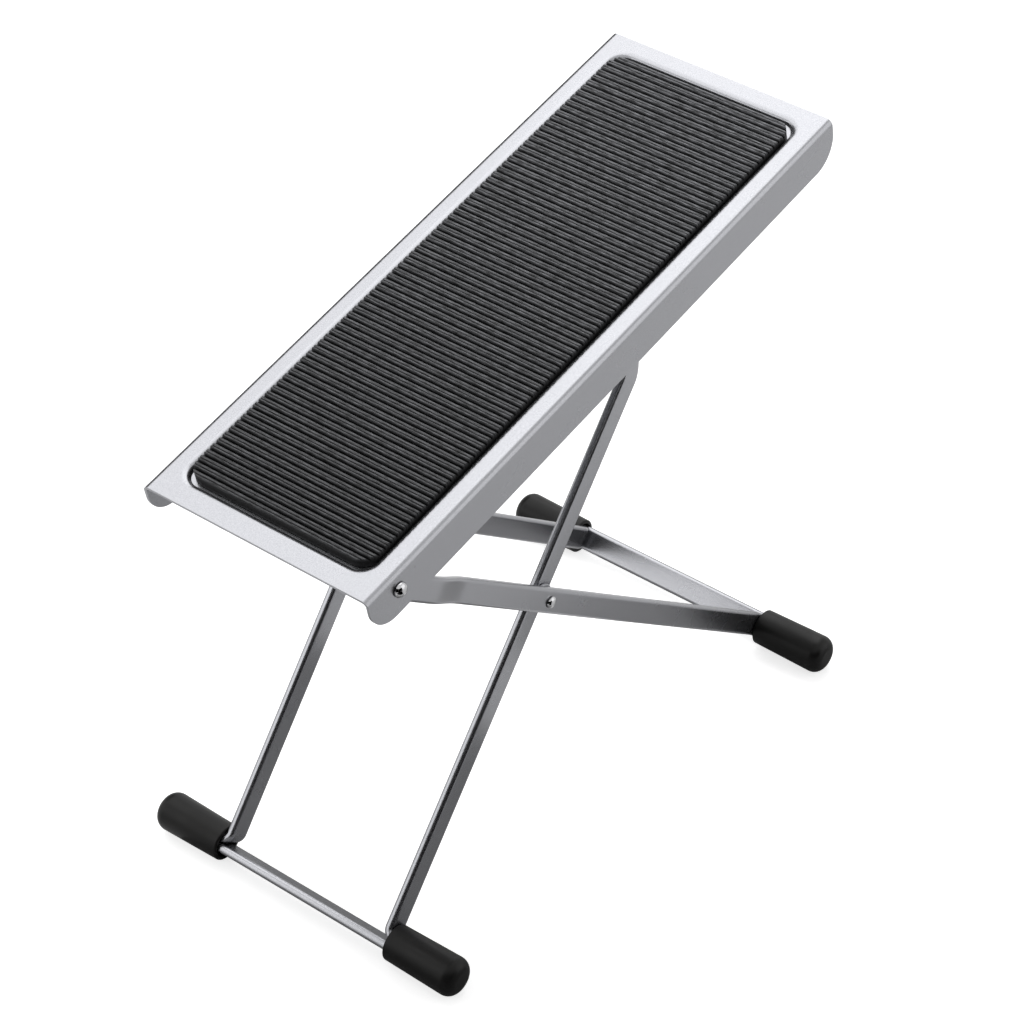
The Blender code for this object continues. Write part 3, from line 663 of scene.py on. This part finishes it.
def platform_surface():
    """The sheet's outer face: tray floor, shoulder, flat margin, both bends and both flanges."""
    mesh = bmesh.new()
    rings = [plate_ring(mesh)]
    shoulder = TRAY_SHOULDER_OUT + TRAY_SHOULDER_IN
    for across, up in arc((0, 0), 1, pi / 2, 0, ARC):
        height = PLATE_TOP - TRAY_SHOULDER_HEIGHT * (1 - up)
        rings.append(tray_ring(mesh, TRAY_SHOULDER_OUT - shoulder * across, height))
    rest = TRAY_DEPTH - TRAY_SHOULDER_HEIGHT
    for across, up in arc((0, 0), 1, 0, pi / 2, ARC // 2)[1:]:
        height = PLATE_TOP - TRAY_SHOULDER_HEIGHT - rest * up
        rings.append(tray_ring(mesh, -TRAY_SHOULDER_IN - TRAY_FILLET * (1 - across), height))
    for first, second in zip(rings, rings[1:]):
        join_rings(mesh, first, second)
    mesh.faces.new(rings[-1])
    for side in (-1, 1):
        row = [v for v in rings[0] if abs(v.co.y - side * PLATE_HALF_WIDTH) < WELD]
        row.sort(key=lambda v: v.co.x)
        places = [
            (side * (PLATE_HALF_WIDTH + across), PLATE_TOP - BEND_RADIUS + up)
            for across, up in arc((0, 0), BEND_RADIUS, pi / 2, 0, ARC)[1:]
        ]
        places.append((side * PLATFORM_WIDTH / 2, PLATE_TOP - FLANGE_DEPTH))
        for y, z in places:
            lower = [mesh.verts.new((v.co.x, y, z)) for v in row]
            for i in range(len(row) - 1):
                mesh.faces.new((row[i], row[i + 1], lower[i + 1], lower[i]))
            row = lower
    bmesh.ops.recalc_face_normals(mesh, faces=mesh.faces)
    top = max(mesh.faces, key=lambda face: face.calc_area())
    if top.normal.z < 0:
        bmesh.ops.reverse_faces(mesh, faces=mesh.faces)
    return mesh


def flange_corner_cut(low_end):
    """What a flange loses at one end of the platform, drawn right across its width."""
    over = FLANGE_CORNER / 2
    bottom = PLATE_TOP - FLANGE_DEPTH
    centre = (FLANGE_CORNER, bottom + FLANGE_CORNER)
    outline = [(-over, bottom - over), (FLANGE_CORNER, bottom - over)]
    outline += arc(centre, FLANGE_CORNER, 3 * pi / 2, pi, 3 * ARC) + [(-over, bottom + FLANGE_CORNER)]
    if low_end:
        outline = [(PLATE_LOW + x, z) for x, z in outline]
    else:
        outline = [(PLATE_HIGH - x, z) for x, z in outline]
    return prism(outline, "Y", -PLATFORM_WIDTH, PLATFORM_WIDTH)


def make_platform():
    """The sheet in its thickness, with its flanges rounded at both ends, drilled and eased."""
    surface = platform_surface()
    surface.transform(PLATFORM_FRAME)
    plate = stand("platform_sheet", as_data("platform_sheet", surface, FINISH["silver_paint"]))
    wall = plate.modifiers.new("sheet", "SOLIDIFY")
    wall.thickness = SHEET
    wall.offset = -1
    wall.use_even_offset = True
    settle(plate)
    cut(plate, [
        new_piece("corner_waste", flange_corner_cut(low_end), PLATFORM_FRAME, "zinc_steel")
        for low_end in (True, False)
    ])
    reach = PLATFORM_WIDTH
    drill(plate, [(PIVOT_RIVET_SHANK, -reach, reach, "Y", (0, 0, 0))], PLATFORM_FRAME)
    soften(plate, SHEET_EDGE, SHEET_EDGE_STEPS)
    smooth(plate)
    fit(plate, "platform", ["platform"])


# Ribbed mat, grown from one rib's outline

def rib_points():
    """One rib in side view as (share of the pitch, height under the crowns), from groove to groove."""
    return [
        (0, -RIB_GROOVE), (0.05, -RIB_GROOVE), (0.10, -RIB_SHOULDER), (0.14, -RIB_ROUNDING),
        (0.19, 0), (0.27, 0), (0.31, -RIB_ROUNDING), (0.345, -RIB_SHOULDER),
        (0.385, -RIB_FINE_GROOVE), (0.42, -RIB_SHOULDER), (0.455, -RIB_ROUNDING), (0.50, 0),
        (0.56, 0), (0.66, -RIB_ROUNDING), (0.76, -RIB_SHOULDER), (0.86, -RIB_FLANK),
        (0.92, -RIB_LOW_FLANK), (0.96, -RIB_GROOVE),
    ]


class NodeMaker:
    """Short ways to place and join geometry nodes."""

    def __init__(self, tree):
        self.tree = tree

    def node(self, kind, **settings):
        made = self.tree.nodes.new(kind)
        for key, value in settings.items():
            setattr(made, key, value)
        return made

    def feed(self, socket, value):
        join(self.tree, value, socket)

    def maths(self, operation, *values):
        return maths(self.tree, operation, *values)

    def point(self, x, y, z):
        made = self.node("ShaderNodeCombineXYZ")
        for socket, value in zip(made.inputs, (x, y, z)):
            self.feed(socket, value)
        return made.outputs[0]

    def fall(self, radius, short):
        """How far a quarter circle has fallen away where it is a distance short of its full height."""
        left = self.maths("SUBTRACT", self.maths("POWER", radius, 2), self.maths("POWER", short, 2))
        return self.maths("SUBTRACT", radius, self.maths("SQRT", self.maths("MAXIMUM", left, 0)))


def mat_tree():
    """Geometry tree: a grid whose columns follow the rib outline again and again, closed into a slab."""
    tree = bpy.data.node_groups.new("ribbed_mat", "GeometryNodeTree")
    sockets = {}
    tree.interface.new_socket("Rib Outline", in_out="INPUT", socket_type="NodeSocketGeometry")
    for label, kind in (
        ("Ribs", "NodeSocketInt"), ("Points per Rib", "NodeSocketInt"), ("Rows", "NodeSocketInt"),
        ("Low End", "NodeSocketFloat"), ("High End", "NodeSocketFloat"), ("Half Width", "NodeSocketFloat"),
        ("Top", "NodeSocketFloat"), ("Bottom", "NodeSocketFloat"), ("Corner Radius", "NodeSocketFloat"),
        ("Crowding", "NodeSocketFloat"), ("Edge Fall", "NodeSocketFloat"),
        ("Rubber", "NodeSocketMaterial"),
    ):
        sockets[label] = tree.interface.new_socket(label, in_out="INPUT", socket_type=kind).identifier
    tree.interface.new_socket("Mat", in_out="OUTPUT", socket_type="NodeSocketGeometry")
    make = NodeMaker(tree)
    given = make.node("NodeGroupInput").outputs
    columns = make.maths("ADD", make.maths("MULTIPLY", given["Ribs"], given["Points per Rib"]), 1)

    grid = make.node("GeometryNodeMeshGrid")
    make.feed(grid.inputs["Vertices X"], columns)
    make.feed(grid.inputs["Vertices Y"], given["Rows"])

    # Which column and row each vertex belongs to; the grid runs row by row inside a column
    index = make.node("GeometryNodeInputIndex").outputs[0]
    column = make.maths("FLOOR", make.maths("DIVIDE", make.maths("ADD", index, 0.5), given["Rows"]))
    row = make.maths("SUBTRACT", index, make.maths("MULTIPLY", column, given["Rows"]))
    rib = make.maths("FLOOR", make.maths("DIVIDE", make.maths("ADD", column, 0.5), given["Points per Rib"]))
    point = make.maths("SUBTRACT", column, make.maths("MULTIPLY", rib, given["Points per Rib"]))
    sample = make.node("GeometryNodeSampleIndex", data_type="FLOAT_VECTOR", domain="POINT")
    make.feed(sample.inputs["Geometry"], given["Rib Outline"])
    make.feed(sample.inputs["Value"], make.node("GeometryNodeInputPosition").outputs[0])
    make.feed(sample.inputs["Index"], point)
    outline = make.node("ShaderNodeSeparateXYZ")
    make.feed(outline.inputs[0], sample.outputs["Value"])

    length = make.maths("SUBTRACT", given["High End"], given["Low End"])
    pitch = make.maths("DIVIDE", length, given["Ribs"])
    along = make.maths("MULTIPLY", make.maths("ADD", rib, outline.outputs["X"]), pitch)
    x = make.maths("ADD", along, given["Low End"])
    to_end = make.maths("MINIMUM", along, make.maths("SUBTRACT", length, along))
    short = make.maths("MAXIMUM", make.maths("SUBTRACT", given["Corner Radius"], to_end), 0)
    inset = make.fall(given["Corner Radius"], short)
    share = make.maths("DIVIDE", row, make.maths("SUBTRACT", given["Rows"], 1))
    even = make.maths("SUBTRACT", make.maths("MULTIPLY", share, 2), 1)
    inwards = make.maths("SUBTRACT", 1, make.maths("ABSOLUTE", even))
    crowded = make.maths("SUBTRACT", 1, make.maths("POWER", inwards, given["Crowding"]))
    across = make.maths("MULTIPLY", make.maths("SIGN", even), crowded)
    half = make.maths("SUBTRACT", given["Half Width"], inset)
    y = make.maths("MULTIPLY", across, half)

    # The ribs fall away in a quarter circle at the mat's edges
    to_side = make.maths("MULTIPLY", make.maths("SUBTRACT", 1, make.maths("ABSOLUTE", across)), half)
    to_rim = make.maths("MINIMUM", to_side, to_end)
    near_rim = make.maths("MAXIMUM", make.maths("SUBTRACT", given["Edge Fall"], to_rim), 0)
    fall = make.fall(given["Edge Fall"], near_rim)
    z = make.maths("SUBTRACT", make.maths("ADD", outline.outputs["Z"], given["Top"]), fall)

    crown = make.node("GeometryNodeSetPosition")
    make.feed(crown.inputs["Geometry"], grid.outputs["Mesh"])
    make.feed(crown.inputs["Position"], make.point(x, y, z))

    # Skirt from the grid's rim down to the underside, and the underside itself
    neighbours = make.node("GeometryNodeInputMeshEdgeNeighbors")
    rim = make.node("FunctionNodeCompare", data_type="INT", operation="EQUAL")
    found, wanted = [socket for socket in rim.inputs if socket.type == "INT"]
    make.feed(found, neighbours.outputs[0])
    make.feed(wanted, 1)
    skirt = make.node("GeometryNodeExtrudeMesh", mode="EDGES")
    make.feed(skirt.inputs["Mesh"], crown.outputs[0])
    make.feed(skirt.inputs["Selection"], rim.outputs[0])
    make.feed(skirt.inputs["Offset Scale"], 0)
    lower = make.node("GeometryNodeSetPosition")
    here = make.node("ShaderNodeSeparateXYZ")
    make.feed(here.inputs[0], make.node("GeometryNodeInputPosition").outputs[0])
    flat = make.point(here.outputs["X"], here.outputs["Y"], given["Bottom"])
    make.feed(lower.inputs["Geometry"], skirt.outputs["Mesh"])
    make.feed(lower.inputs["Selection"], skirt.outputs["Top"])
    make.feed(lower.inputs["Position"], flat)
    under = make.node("GeometryNodeSetPosition")
    make.feed(under.inputs["Geometry"], crown.outputs[0])
    make.feed(under.inputs["Position"], flat)
    turned = make.node("GeometryNodeFlipFaces")
    make.feed(turned.inputs["Mesh"], under.outputs[0])
    whole = make.node("GeometryNodeJoinGeometry")
    make.feed(whole.inputs[0], lower.outputs[0])
    make.feed(whole.inputs[0], turned.outputs[0])
    weld = make.node("GeometryNodeMergeByDistance")
    make.feed(weld.inputs["Geometry"], whole.outputs[0])
    make.feed(weld.inputs["Distance"], WELD)
    real = make.node("GeometryNodeRealizeInstances")
    make.feed(real.inputs[0], weld.outputs[0])
    rubber = make.node("GeometryNodeSetMaterial")
    make.feed(rubber.inputs["Geometry"], real.outputs[0])
    make.feed(rubber.inputs["Material"], given["Rubber"])
    end = make.node("NodeGroupOutput")
    make.feed(end.inputs[0], rubber.outputs[0])
    return tree, sockets


def make_mat():
    outline = bmesh.new()
    for share, height in rib_points():
        outline.verts.new((share, 0, height))
    mat = stand("ribbed_mat", as_data("ribbed_mat", outline))
    tree, sockets = mat_tree()
    grow = mat.modifiers.new("ribs", "NODES")
    grow.node_group = tree
    for label, value in (
        ("Ribs", MAT_RIBS), ("Points per Rib", len(rib_points())), ("Rows", MAT_ROWS),
        ("Low End", MAT_LOW), ("High End", MAT_HIGH), ("Half Width", MAT_HALF_WIDTH),
        ("Top", MAT_TOP), ("Bottom", MAT_BOTTOM), ("Corner Radius", MAT_CORNER),
        ("Crowding", MAT_ROW_CROWDING), ("Edge Fall", MAT_EDGE_FALL),
        ("Rubber", FINISH["mat_rubber"]),
    ):
        grow[sockets[label]] = value
    settle(mat)
    mat.data.transform(PLATFORM_FRAME)
    skin = bmesh.new()
    skin.from_mesh(mat.data)
    bmesh.ops.recalc_face_normals(skin, faces=skin.faces)
    skin.to_mesh(mat.data)
    skin.free()
    mat.data.shade_smooth()
    mat.data.set_sharp_from_angle(angle=CRISP_ANGLE)
    fit(mat, "platform", ["rubber_mat"])


# Leg frames

def jog(start, end, face, shift):
    """Stations of a strip that steps sideways in a smooth S between two places along the leg."""
    steps = [i / JOG_STEPS for i in range(JOG_STEPS + 1)]
    return [
        (start + (end - start) * t, face + shift * (1 - cos(pi * t)) / 2, STRIP_WIDTH / 2)
        for t in steps
    ]


def round_end(place, face, toward):
    """Stations of a strip's half-round end centred on place, from the tip inwards."""
    turns = [pi / 2 * (i + 1 / 2) / (END_STEPS + 1 / 2) for i in range(END_STEPS)]
    radius = STRIP_WIDTH / 2
    return [(place + toward * radius * cos(t), face, radius * sin(t)) for t in turns]


def tab_bend(face, place, toward, end):
    """Stations that turn a strip outwards into its foot; toward is 1 or -1, the way to the foot."""
    radius = TAB_BEND + STRIP / 2
    centre = (place - toward * radius, face + radius)
    stations = [
        (centre[0] + toward * (s - centre[0]), q, STRIP_WIDTH / 2)
        for s, q in arc(centre, radius, -pi / 2, 0, ARC)
    ]
    return stations + [(place, end, STRIP_WIDTH / 2)]


def strip(stations, side):
    """A flat strip with eased edges along stations of (along leg, out from centre, half width)."""
    mesh = bmesh.new()
    rings = []
    half = STRIP / 2
    count = len(stations)
    for i, (s, q, width) in enumerate(stations):
        before = Vector(stations[max(i - 1, 0)][:2])
        after = Vector(stations[min(i + 1, count - 1)][:2])
        run = (after - before).normalized()
        normal = Vector((-run.y, run.x))
        ease = min(STRIP_EDGE, width * STRIP_EDGE_SHARE)
        ring = []
        for over, up, turn in CORNERS:
            centre = (over * (half - ease), up * (width - ease))
            for across, height in arc(centre, ease, turn, turn + pi / 2, EDGE_STEPS):
                place = Vector((s, q)) + normal * across
                ring.append(mesh.verts.new((place.x, side * place.y, height)))
        rings.append(ring)
    for first, second in zip(rings, rings[1:]):
        join_rings(mesh, first, second)
    mesh.faces.new(rings[0])
    mesh.faces.new(reversed(rings[-1]))
    return mesh


def make_outer_leg(label, side):
    pivot_mid = LEG_PIVOT_FACE - STRIP / 2
    leg_mid = OUTER_LEG_FACE - STRIP / 2
    stations = round_end(0, pivot_mid, -1)
    stations.append((0, pivot_mid, STRIP_WIDTH / 2))
    stations += jog(OUTER_JOG_START, OUTER_JOG_START + OUTER_JOG_LENGTH, pivot_mid, leg_mid - pivot_mid)
    stations += tab_bend(leg_mid, OUTER_TAB, 1, OUTER_LEG_FACE + TAB_REACH)
    leg = new_piece(f"outer_leg_strip_{label}", strip(stations, side), OUTER_FRAME, "silver_paint")
    near, far = sorted((side * (LEG_PIVOT_FACE + STRIP), side * (OUTER_LEG_FACE - 2 * STRIP)))
    tab = (0, side * (OUTER_LEG_FACE + CORNER_RIVET_REACH), 0)
    drill(leg, [
        (PIVOT_RIVET_SHANK, near, far, "Y", (0, 0, 0)),
        (CROSS_RIVET_SHANK, near, far, "Y", (PIVOT_TO_CROSS, 0, 0)),
        (CORNER_RIVET_SHANK, OUTER_TAB - STRIP, OUTER_TAB + STRIP, "X", tab),
    ], OUTER_FRAME)
    smooth(leg)
    fit(leg, "outer_frame", [f"outer_leg_{label}"])


def make_inner_leg(label, side):
    leg_mid = INNER_LEG_FACE - STRIP / 2
    rod_mid = ROD_LEG_FACE - STRIP / 2
    stations = round_end(CROSS_TO_ROD, rod_mid, 1)
    stations.append((CROSS_TO_ROD, rod_mid, STRIP_WIDTH / 2))
    stations += jog(INNER_JOG_START + INNER_JOG_LENGTH, INNER_JOG_START, rod_mid, leg_mid - rod_mid)
    stations += tab_bend(leg_mid, INNER_TAB, -1, INNER_LEG_FACE + TAB_REACH)
    leg = new_piece(f"inner_leg_strip_{label}", strip(stations, side), INNER_FRAME, "silver_paint")
    near, far = sorted((side * (INNER_LEG_FACE + STRIP), side * (ROD_LEG_FACE - 2 * STRIP)))
    tab = (0, side * (INNER_LEG_FACE + CORNER_RIVET_REACH), 0)
    drill(leg, [
        (ROD_RADIUS, near, far, "Y", (CROSS_TO_ROD, 0, 0)),
        (CROSS_RIVET_SHANK, near, far, "Y", (0, 0, 0)),
        (CORNER_RIVET_SHANK, INNER_TAB - STRIP, INNER_TAB + STRIP, "X", tab),
    ], INNER_FRAME)
    smooth(leg)
    fit(leg, "inner_frame", [f"inner_leg_{label}"])


def make_crossbar(name, place, face, lie, body, node):
    reach = face + TAB_REACH
    stations = [(place, -reach, STRIP_WIDTH / 2), (place, reach, STRIP_WIDTH / 2)]
    bar = new_piece(name, strip(stations, 1), lie, "silver_paint")
    holes = [
        (CORNER_RIVET_SHANK, place - STRIP, place + STRIP, "X", (0, side * (face + CORNER_RIVET_REACH), 0))
        for side in (-1, 1)
    ]
    drill(bar, holes, lie)
    smooth(bar)
    fit(bar, body, [node])


# Rivets and feet

def headed_pin(head_face, tail_face, shank, head, height, side):
    """A rivet across Y, with a domed head outside and a flat, eased tail inside."""
    outside, inside = head_face + FIT, tail_face - FIT
    low = inside - TAIL_HEIGHT
    profile = [(low, 0)]
    profile += arc((low + TAIL_EDGE, head - TAIL_EDGE), TAIL_EDGE, pi, pi / 2, ARC // 2)
    profile += [(inside, head), (inside, shank), (outside, shank)]
    turned = arc((0, 0), 1, 0, pi / 2, ARC)
    profile += [(outside + height * up, head * across) for across, up in turned[:-1]]
    profile.append((outside + height, 0))
    return lathe([(side * along, radius) for along, radius in profile], steps=SMALL_ROUND)


def make_rivet(name, pin_mesh, lie, body, node):
    rivet = new_piece(name, pin_mesh, lie, "bright_rivet")
    smooth(rivet)
    fit(rivet, body, [node])


def make_rivets(label, side):
    """The pivot rivet and the crossing rivet of one side."""
    pivot_pin = headed_pin(
        PLATFORM_WIDTH / 2, LEG_PIVOT_FACE - STRIP,
        PIVOT_RIVET_SHANK, PIVOT_RIVET_HEAD, PIVOT_RIVET_DOME, side,
    )
    cross_pin = headed_pin(
        OUTER_LEG_FACE, INNER_LEG_FACE - STRIP,
        CROSS_RIVET_SHANK, CROSS_RIVET_HEAD, CROSS_RIVET_DOME, side,
    )
    pivot, cross = f"pivot_rivet_{label}", f"cross_rivet_{label}"
    make_rivet(f"pivot_rivet_head_{label}", pivot_pin, PLATFORM_FRAME, "pivot_rivets", pivot)
    make_rivet(f"cross_rivet_head_{label}", cross_pin, INNER_FRAME, "inner_frame", cross)


def make_foot(name, place, face, side, lie, body, node):
    """A tapered rubber cap, open towards the leg, with a domed outer end."""
    start = face + FOOT_FROM_LEG
    end = start + FOOT_LENGTH
    flat = FOOT_OUTER_RADIUS - FOOT_DOME
    rim = arc((start + FOOT_RIM, FOOT_INNER_RADIUS - FOOT_RIM), FOOT_RIM, pi, pi / 2, ARC // 2)
    profile = [(end, 0)]
    profile += arc((end - FOOT_DOME, flat), FOOT_DOME, 0, pi / 2, ARC)
    profile += reversed(rim)
    profile += [(start, FOOT_BORE), (end - FOOT_END_WALL, FOOT_BORE), (end - FOOT_END_WALL, 0)]
    mesh = lathe([(side * along, radius) for along, radius in profile], offset=(place, 0, 0))
    foot = new_piece(name, mesh, lie, "black_rubber")
    smooth(foot)
    fit(foot, body, [node])


def refine(node, name, finish, body):
    """A merged copy of a small solid with softened edges."""
    mesh = bmesh.new()
    mesh.from_mesh(frame["nodes"][node].data)
    bmesh.ops.remove_doubles(mesh, verts=mesh.verts, dist=WELD)
    bmesh.ops.dissolve_limit(mesh, angle_limit=MERGE_ANGLE, verts=mesh.verts, edges=mesh.edges)
    made = stand(name, as_data(name, mesh, FINISH[finish]))
    soften(made, SMALL_EDGE, SMALL_EDGE_STEPS)
    smooth(made)
    fit(made, body, [node])


make_platform()
make_mat()
for label, side in (("near", -1), ("far", 1)):
    make_outer_leg(label, side)
    make_inner_leg(label, side)
    make_rivets(label, side)
    make_foot(
        f"outer_foot_cap_{label}", PIVOT_TO_OUTER_FOOT, OUTER_LEG_FACE, side,
        OUTER_FRAME, "outer_frame", f"outer_foot_{label}",
    )
    make_foot(
        f"inner_foot_cap_{label}", -CROSS_TO_INNER_FOOT, INNER_LEG_FACE, side,
        INNER_FRAME, "inner_frame", f"inner_foot_{label}",
    )
    refine(f"rack_{label}", f"toothed_rack_{label}", "zinc_steel", "platform")
    refine(f"cross_spacer_{label}", f"spacer_washer_{label}", "zinc_steel", "outer_frame")
    refine(f"outer_corner_rivet_{label}", f"outer_tab_rivet_{label}", "bright_rivet", "outer_frame")
    refine(f"inner_corner_rivet_{label}", f"inner_tab_rivet_{label}", "bright_rivet", "inner_frame")
refine("top_rod", "rest_rod", "zinc_steel", "inner_frame")
make_crossbar(
    "outer_crossbar_strip", OUTER_CROSS_BAR, OUTER_LEG_FACE, OUTER_FRAME, "outer_frame", "outer_crossbar",
)
make_crossbar(
    "inner_crossbar_strip", INNER_CROSS_BAR, INNER_LEG_FACE, INNER_FRAME, "inner_frame", "inner_crossbar",
)


# Floor, lights and camera

FLOOR_SIZE = 12.0
FLOOR_COLOUR = (0.80, 0.80, 0.80)
FLOOR_ROUGHNESS = 0.9
FLOOR_GLOW = 0.70
FLOOR_GLOW_SHARE_MIRRORED = 0.33
ROOM_LEVEL = 0.30

# Softboxes: where each stands from the object, as a direction and a distance, its size and its level
SOFTBOXES = {
    "overhead_softbox": (Vector((0.31, 0.48, 0.82)), 1.5, (2.1, 1.8), 1.31),
    "high_end_softbox": (Vector((0.97, 0.39, 1.23)), 1.6, (1.1, 1.4), 0.45),
    "rear_softbox": (Vector((-0.70, 0.62, 0.423)), 1.3, (1.1, 0.75), 1.2),
    "near_side_softbox": (Vector((0.48, -0.76, 0.42)), 1.2, (1.1, 0.9), 0.6),
    "low_side_strip": (Vector((0.50, -0.80, 0.02)), 1.0, (0.8, 0.2), 0.5),
}

# Cards that only reflections see: direction, distance, size and grey
CARDS = {
    "black_card_left": (Vector((-0.96, -0.27, 0.30)), 1.0, (1.35, 0.75), 0.004),
    "black_card_right": (Vector((-0.42, -0.90, 0.20)), 1.0, (1.2, 0.75), 0.004),
    "black_card_rear": (Vector((0.36, 0.88, 0.35)), 1.0, (0.75, 0.66), 0.06),
}

# Cards that lie on the floor: middle, size and grey. The two grey cards are painted shadow: they darken the
# floor that reflections see near the feet and under the platform, where its shadow falls.
FLOOR_CARDS = {
    "black_floor_card": ((-0.365, -0.60), (0.67, 0.76), 0.004),
    "painted_shadow_card_low": ((-0.15, -0.05), (0.30, 0.23), 0.48),
    "painted_shadow_card_high": ((0.13, -0.05), (0.16, 0.18), 0.60),
}
FLOOR_CARD_HEIGHT = 0.001

CAMERA_PLACE = Vector((-0.7871, -0.6285, 0.94615))
CAMERA_YAW = radians(38.363)
CAMERA_PITCH = radians(-39.237)
CAMERA_ROLL = radians(-0.064)
CAMERA_LENS = 115.63
CAMERA_NEAREST = 0.05
SENSOR_WIDTH = 36


def seen_directly(tree, ray):
    """1 for a ray straight from the camera, also through glass."""
    return maths(tree, "MAXIMUM", ray.outputs["Is Camera Ray"], ray.outputs["Is Transmission Ray"])


def make_floor():
    """A pale floor that looks white beside the object and still takes its soft shadow."""
    mesh = bmesh.new()
    bmesh.ops.create_grid(mesh, x_segments=4, y_segments=4, size=FLOOR_SIZE / 2)
    floor_finish = bpy.data.materials.new("pale_floor")
    floor_finish.use_nodes = True
    tree = floor_finish.node_tree
    shader = tree.nodes["Principled BSDF"]
    shader.inputs["Base Color"].default_value = (*FLOOR_COLOUR, 1)
    shader.inputs["Roughness"].default_value = FLOOR_ROUGHNESS
    shader.inputs["Specular IOR Level"].default_value = 0
    shader.inputs["Emission Color"].default_value = (1, 1, 1, 1)
    ray = tree.nodes.new("ShaderNodeLightPath")
    mirrored = maths(tree, "MULTIPLY", ray.outputs["Is Glossy Ray"], FLOOR_GLOW_SHARE_MIRRORED)
    seen = maths(tree, "MAXIMUM", seen_directly(tree, ray), mirrored)
    glow = maths(tree, "MULTIPLY", seen, FLOOR_GLOW)
    join(tree, glow, shader.inputs["Emission Strength"])
    stand("floor", as_data("floor", mesh, floor_finish))


def facing(place, target):
    """The lie of a lamp or card that stands at a place and faces a target."""
    turn = (target - place).to_track_quat("-Z", "Y").to_matrix().to_4x4()
    return Matrix.Translation(place) @ turn


def make_softbox(name, lie, size, level):
    """A rectangular softbox whose face shines at the given level, where 1 is white."""
    lamp = bpy.data.lights.new(name, "AREA")
    lamp.shape = "RECTANGLE"
    lamp.size, lamp.size_y = size
    lamp.energy = level * pi * size[0] * size[1]
    stand(name, lamp).matrix_world = lie


def make_card(name, lie, size, grey):
    """A black or grey card that only reflections see, as photographers use beside metal; the grey ones
    lying on the floor are painted shadow.
    """
    card = bmesh.new()
    bmesh.ops.create_grid(card, x_segments=2, y_segments=2, size=0.5)
    card.transform(Matrix.Diagonal((size[0], size[1], 1, 1)))
    paper = bpy.data.materials.new(f"{name}_paper")
    paper.use_nodes = True
    shader = paper.node_tree.nodes["Principled BSDF"]
    shader.inputs["Base Color"].default_value = (grey, grey, grey, 1)
    shader.inputs["Specular IOR Level"].default_value = 0
    made = stand(name, as_data(name, card, paper))
    made.matrix_world = lie
    made.visible_camera = False
    made.visible_diffuse = False
    made.visible_shadow = False


def make_room():
    """Even grey room light, with white seen directly and in reflections."""
    world = bpy.data.worlds.new("studio_room")
    bpy.context.scene.world = world
    world.use_nodes = True
    tree = world.node_tree
    ground = tree.nodes["Background"]
    ray = tree.nodes.new("ShaderNodeLightPath")
    seen = maths(tree, "MAXIMUM", seen_directly(tree, ray), ray.outputs["Is Glossy Ray"])
    level = maths(tree, "MULTIPLY_ADD", seen, 1 - ROOM_LEVEL, ROOM_LEVEL)
    ground.inputs["Color"].default_value = (1, 1, 1, 1)
    join(tree, level, ground.inputs["Strength"])


def make_camera():
    lens = bpy.data.cameras.new("camera")
    lens.lens = CAMERA_LENS
    lens.sensor_width = SENSOR_WIDTH
    lens.clip_start = CAMERA_NEAREST
    camera = stand("camera", lens)
    turn = Matrix.Rotation(CAMERA_YAW - pi / 2, 4, "Z") @ Matrix.Rotation(pi / 2 + CAMERA_PITCH, 4, "X")
    camera.matrix_world = Matrix.Translation(CAMERA_PLACE) @ turn @ Matrix.Rotation(CAMERA_ROLL, 4, "Z")
    bpy.context.scene.camera = camera


OBJECT_MIDDLE = (CAD_BOX[0] + CAD_BOX[1]) / 2
make_floor()
for name, (towards, distance, size, level) in SOFTBOXES.items():
    place = OBJECT_MIDDLE + towards.normalized() * distance
    make_softbox(name, facing(place, OBJECT_MIDDLE), size, level)
for name, (towards, distance, size, grey) in CARDS.items():
    place = OBJECT_MIDDLE + towards.normalized() * distance
    make_card(name, facing(place, OBJECT_MIDDLE), size, grey)
for name, ((x, y), size, grey) in FLOOR_CARDS.items():
    make_card(name, Matrix.Translation((x, y, FLOOR_CARD_HEIGHT)), size, grey)
make_room()
make_camera()
bpy.context.scene.view_settings.view_transform = "Standard"
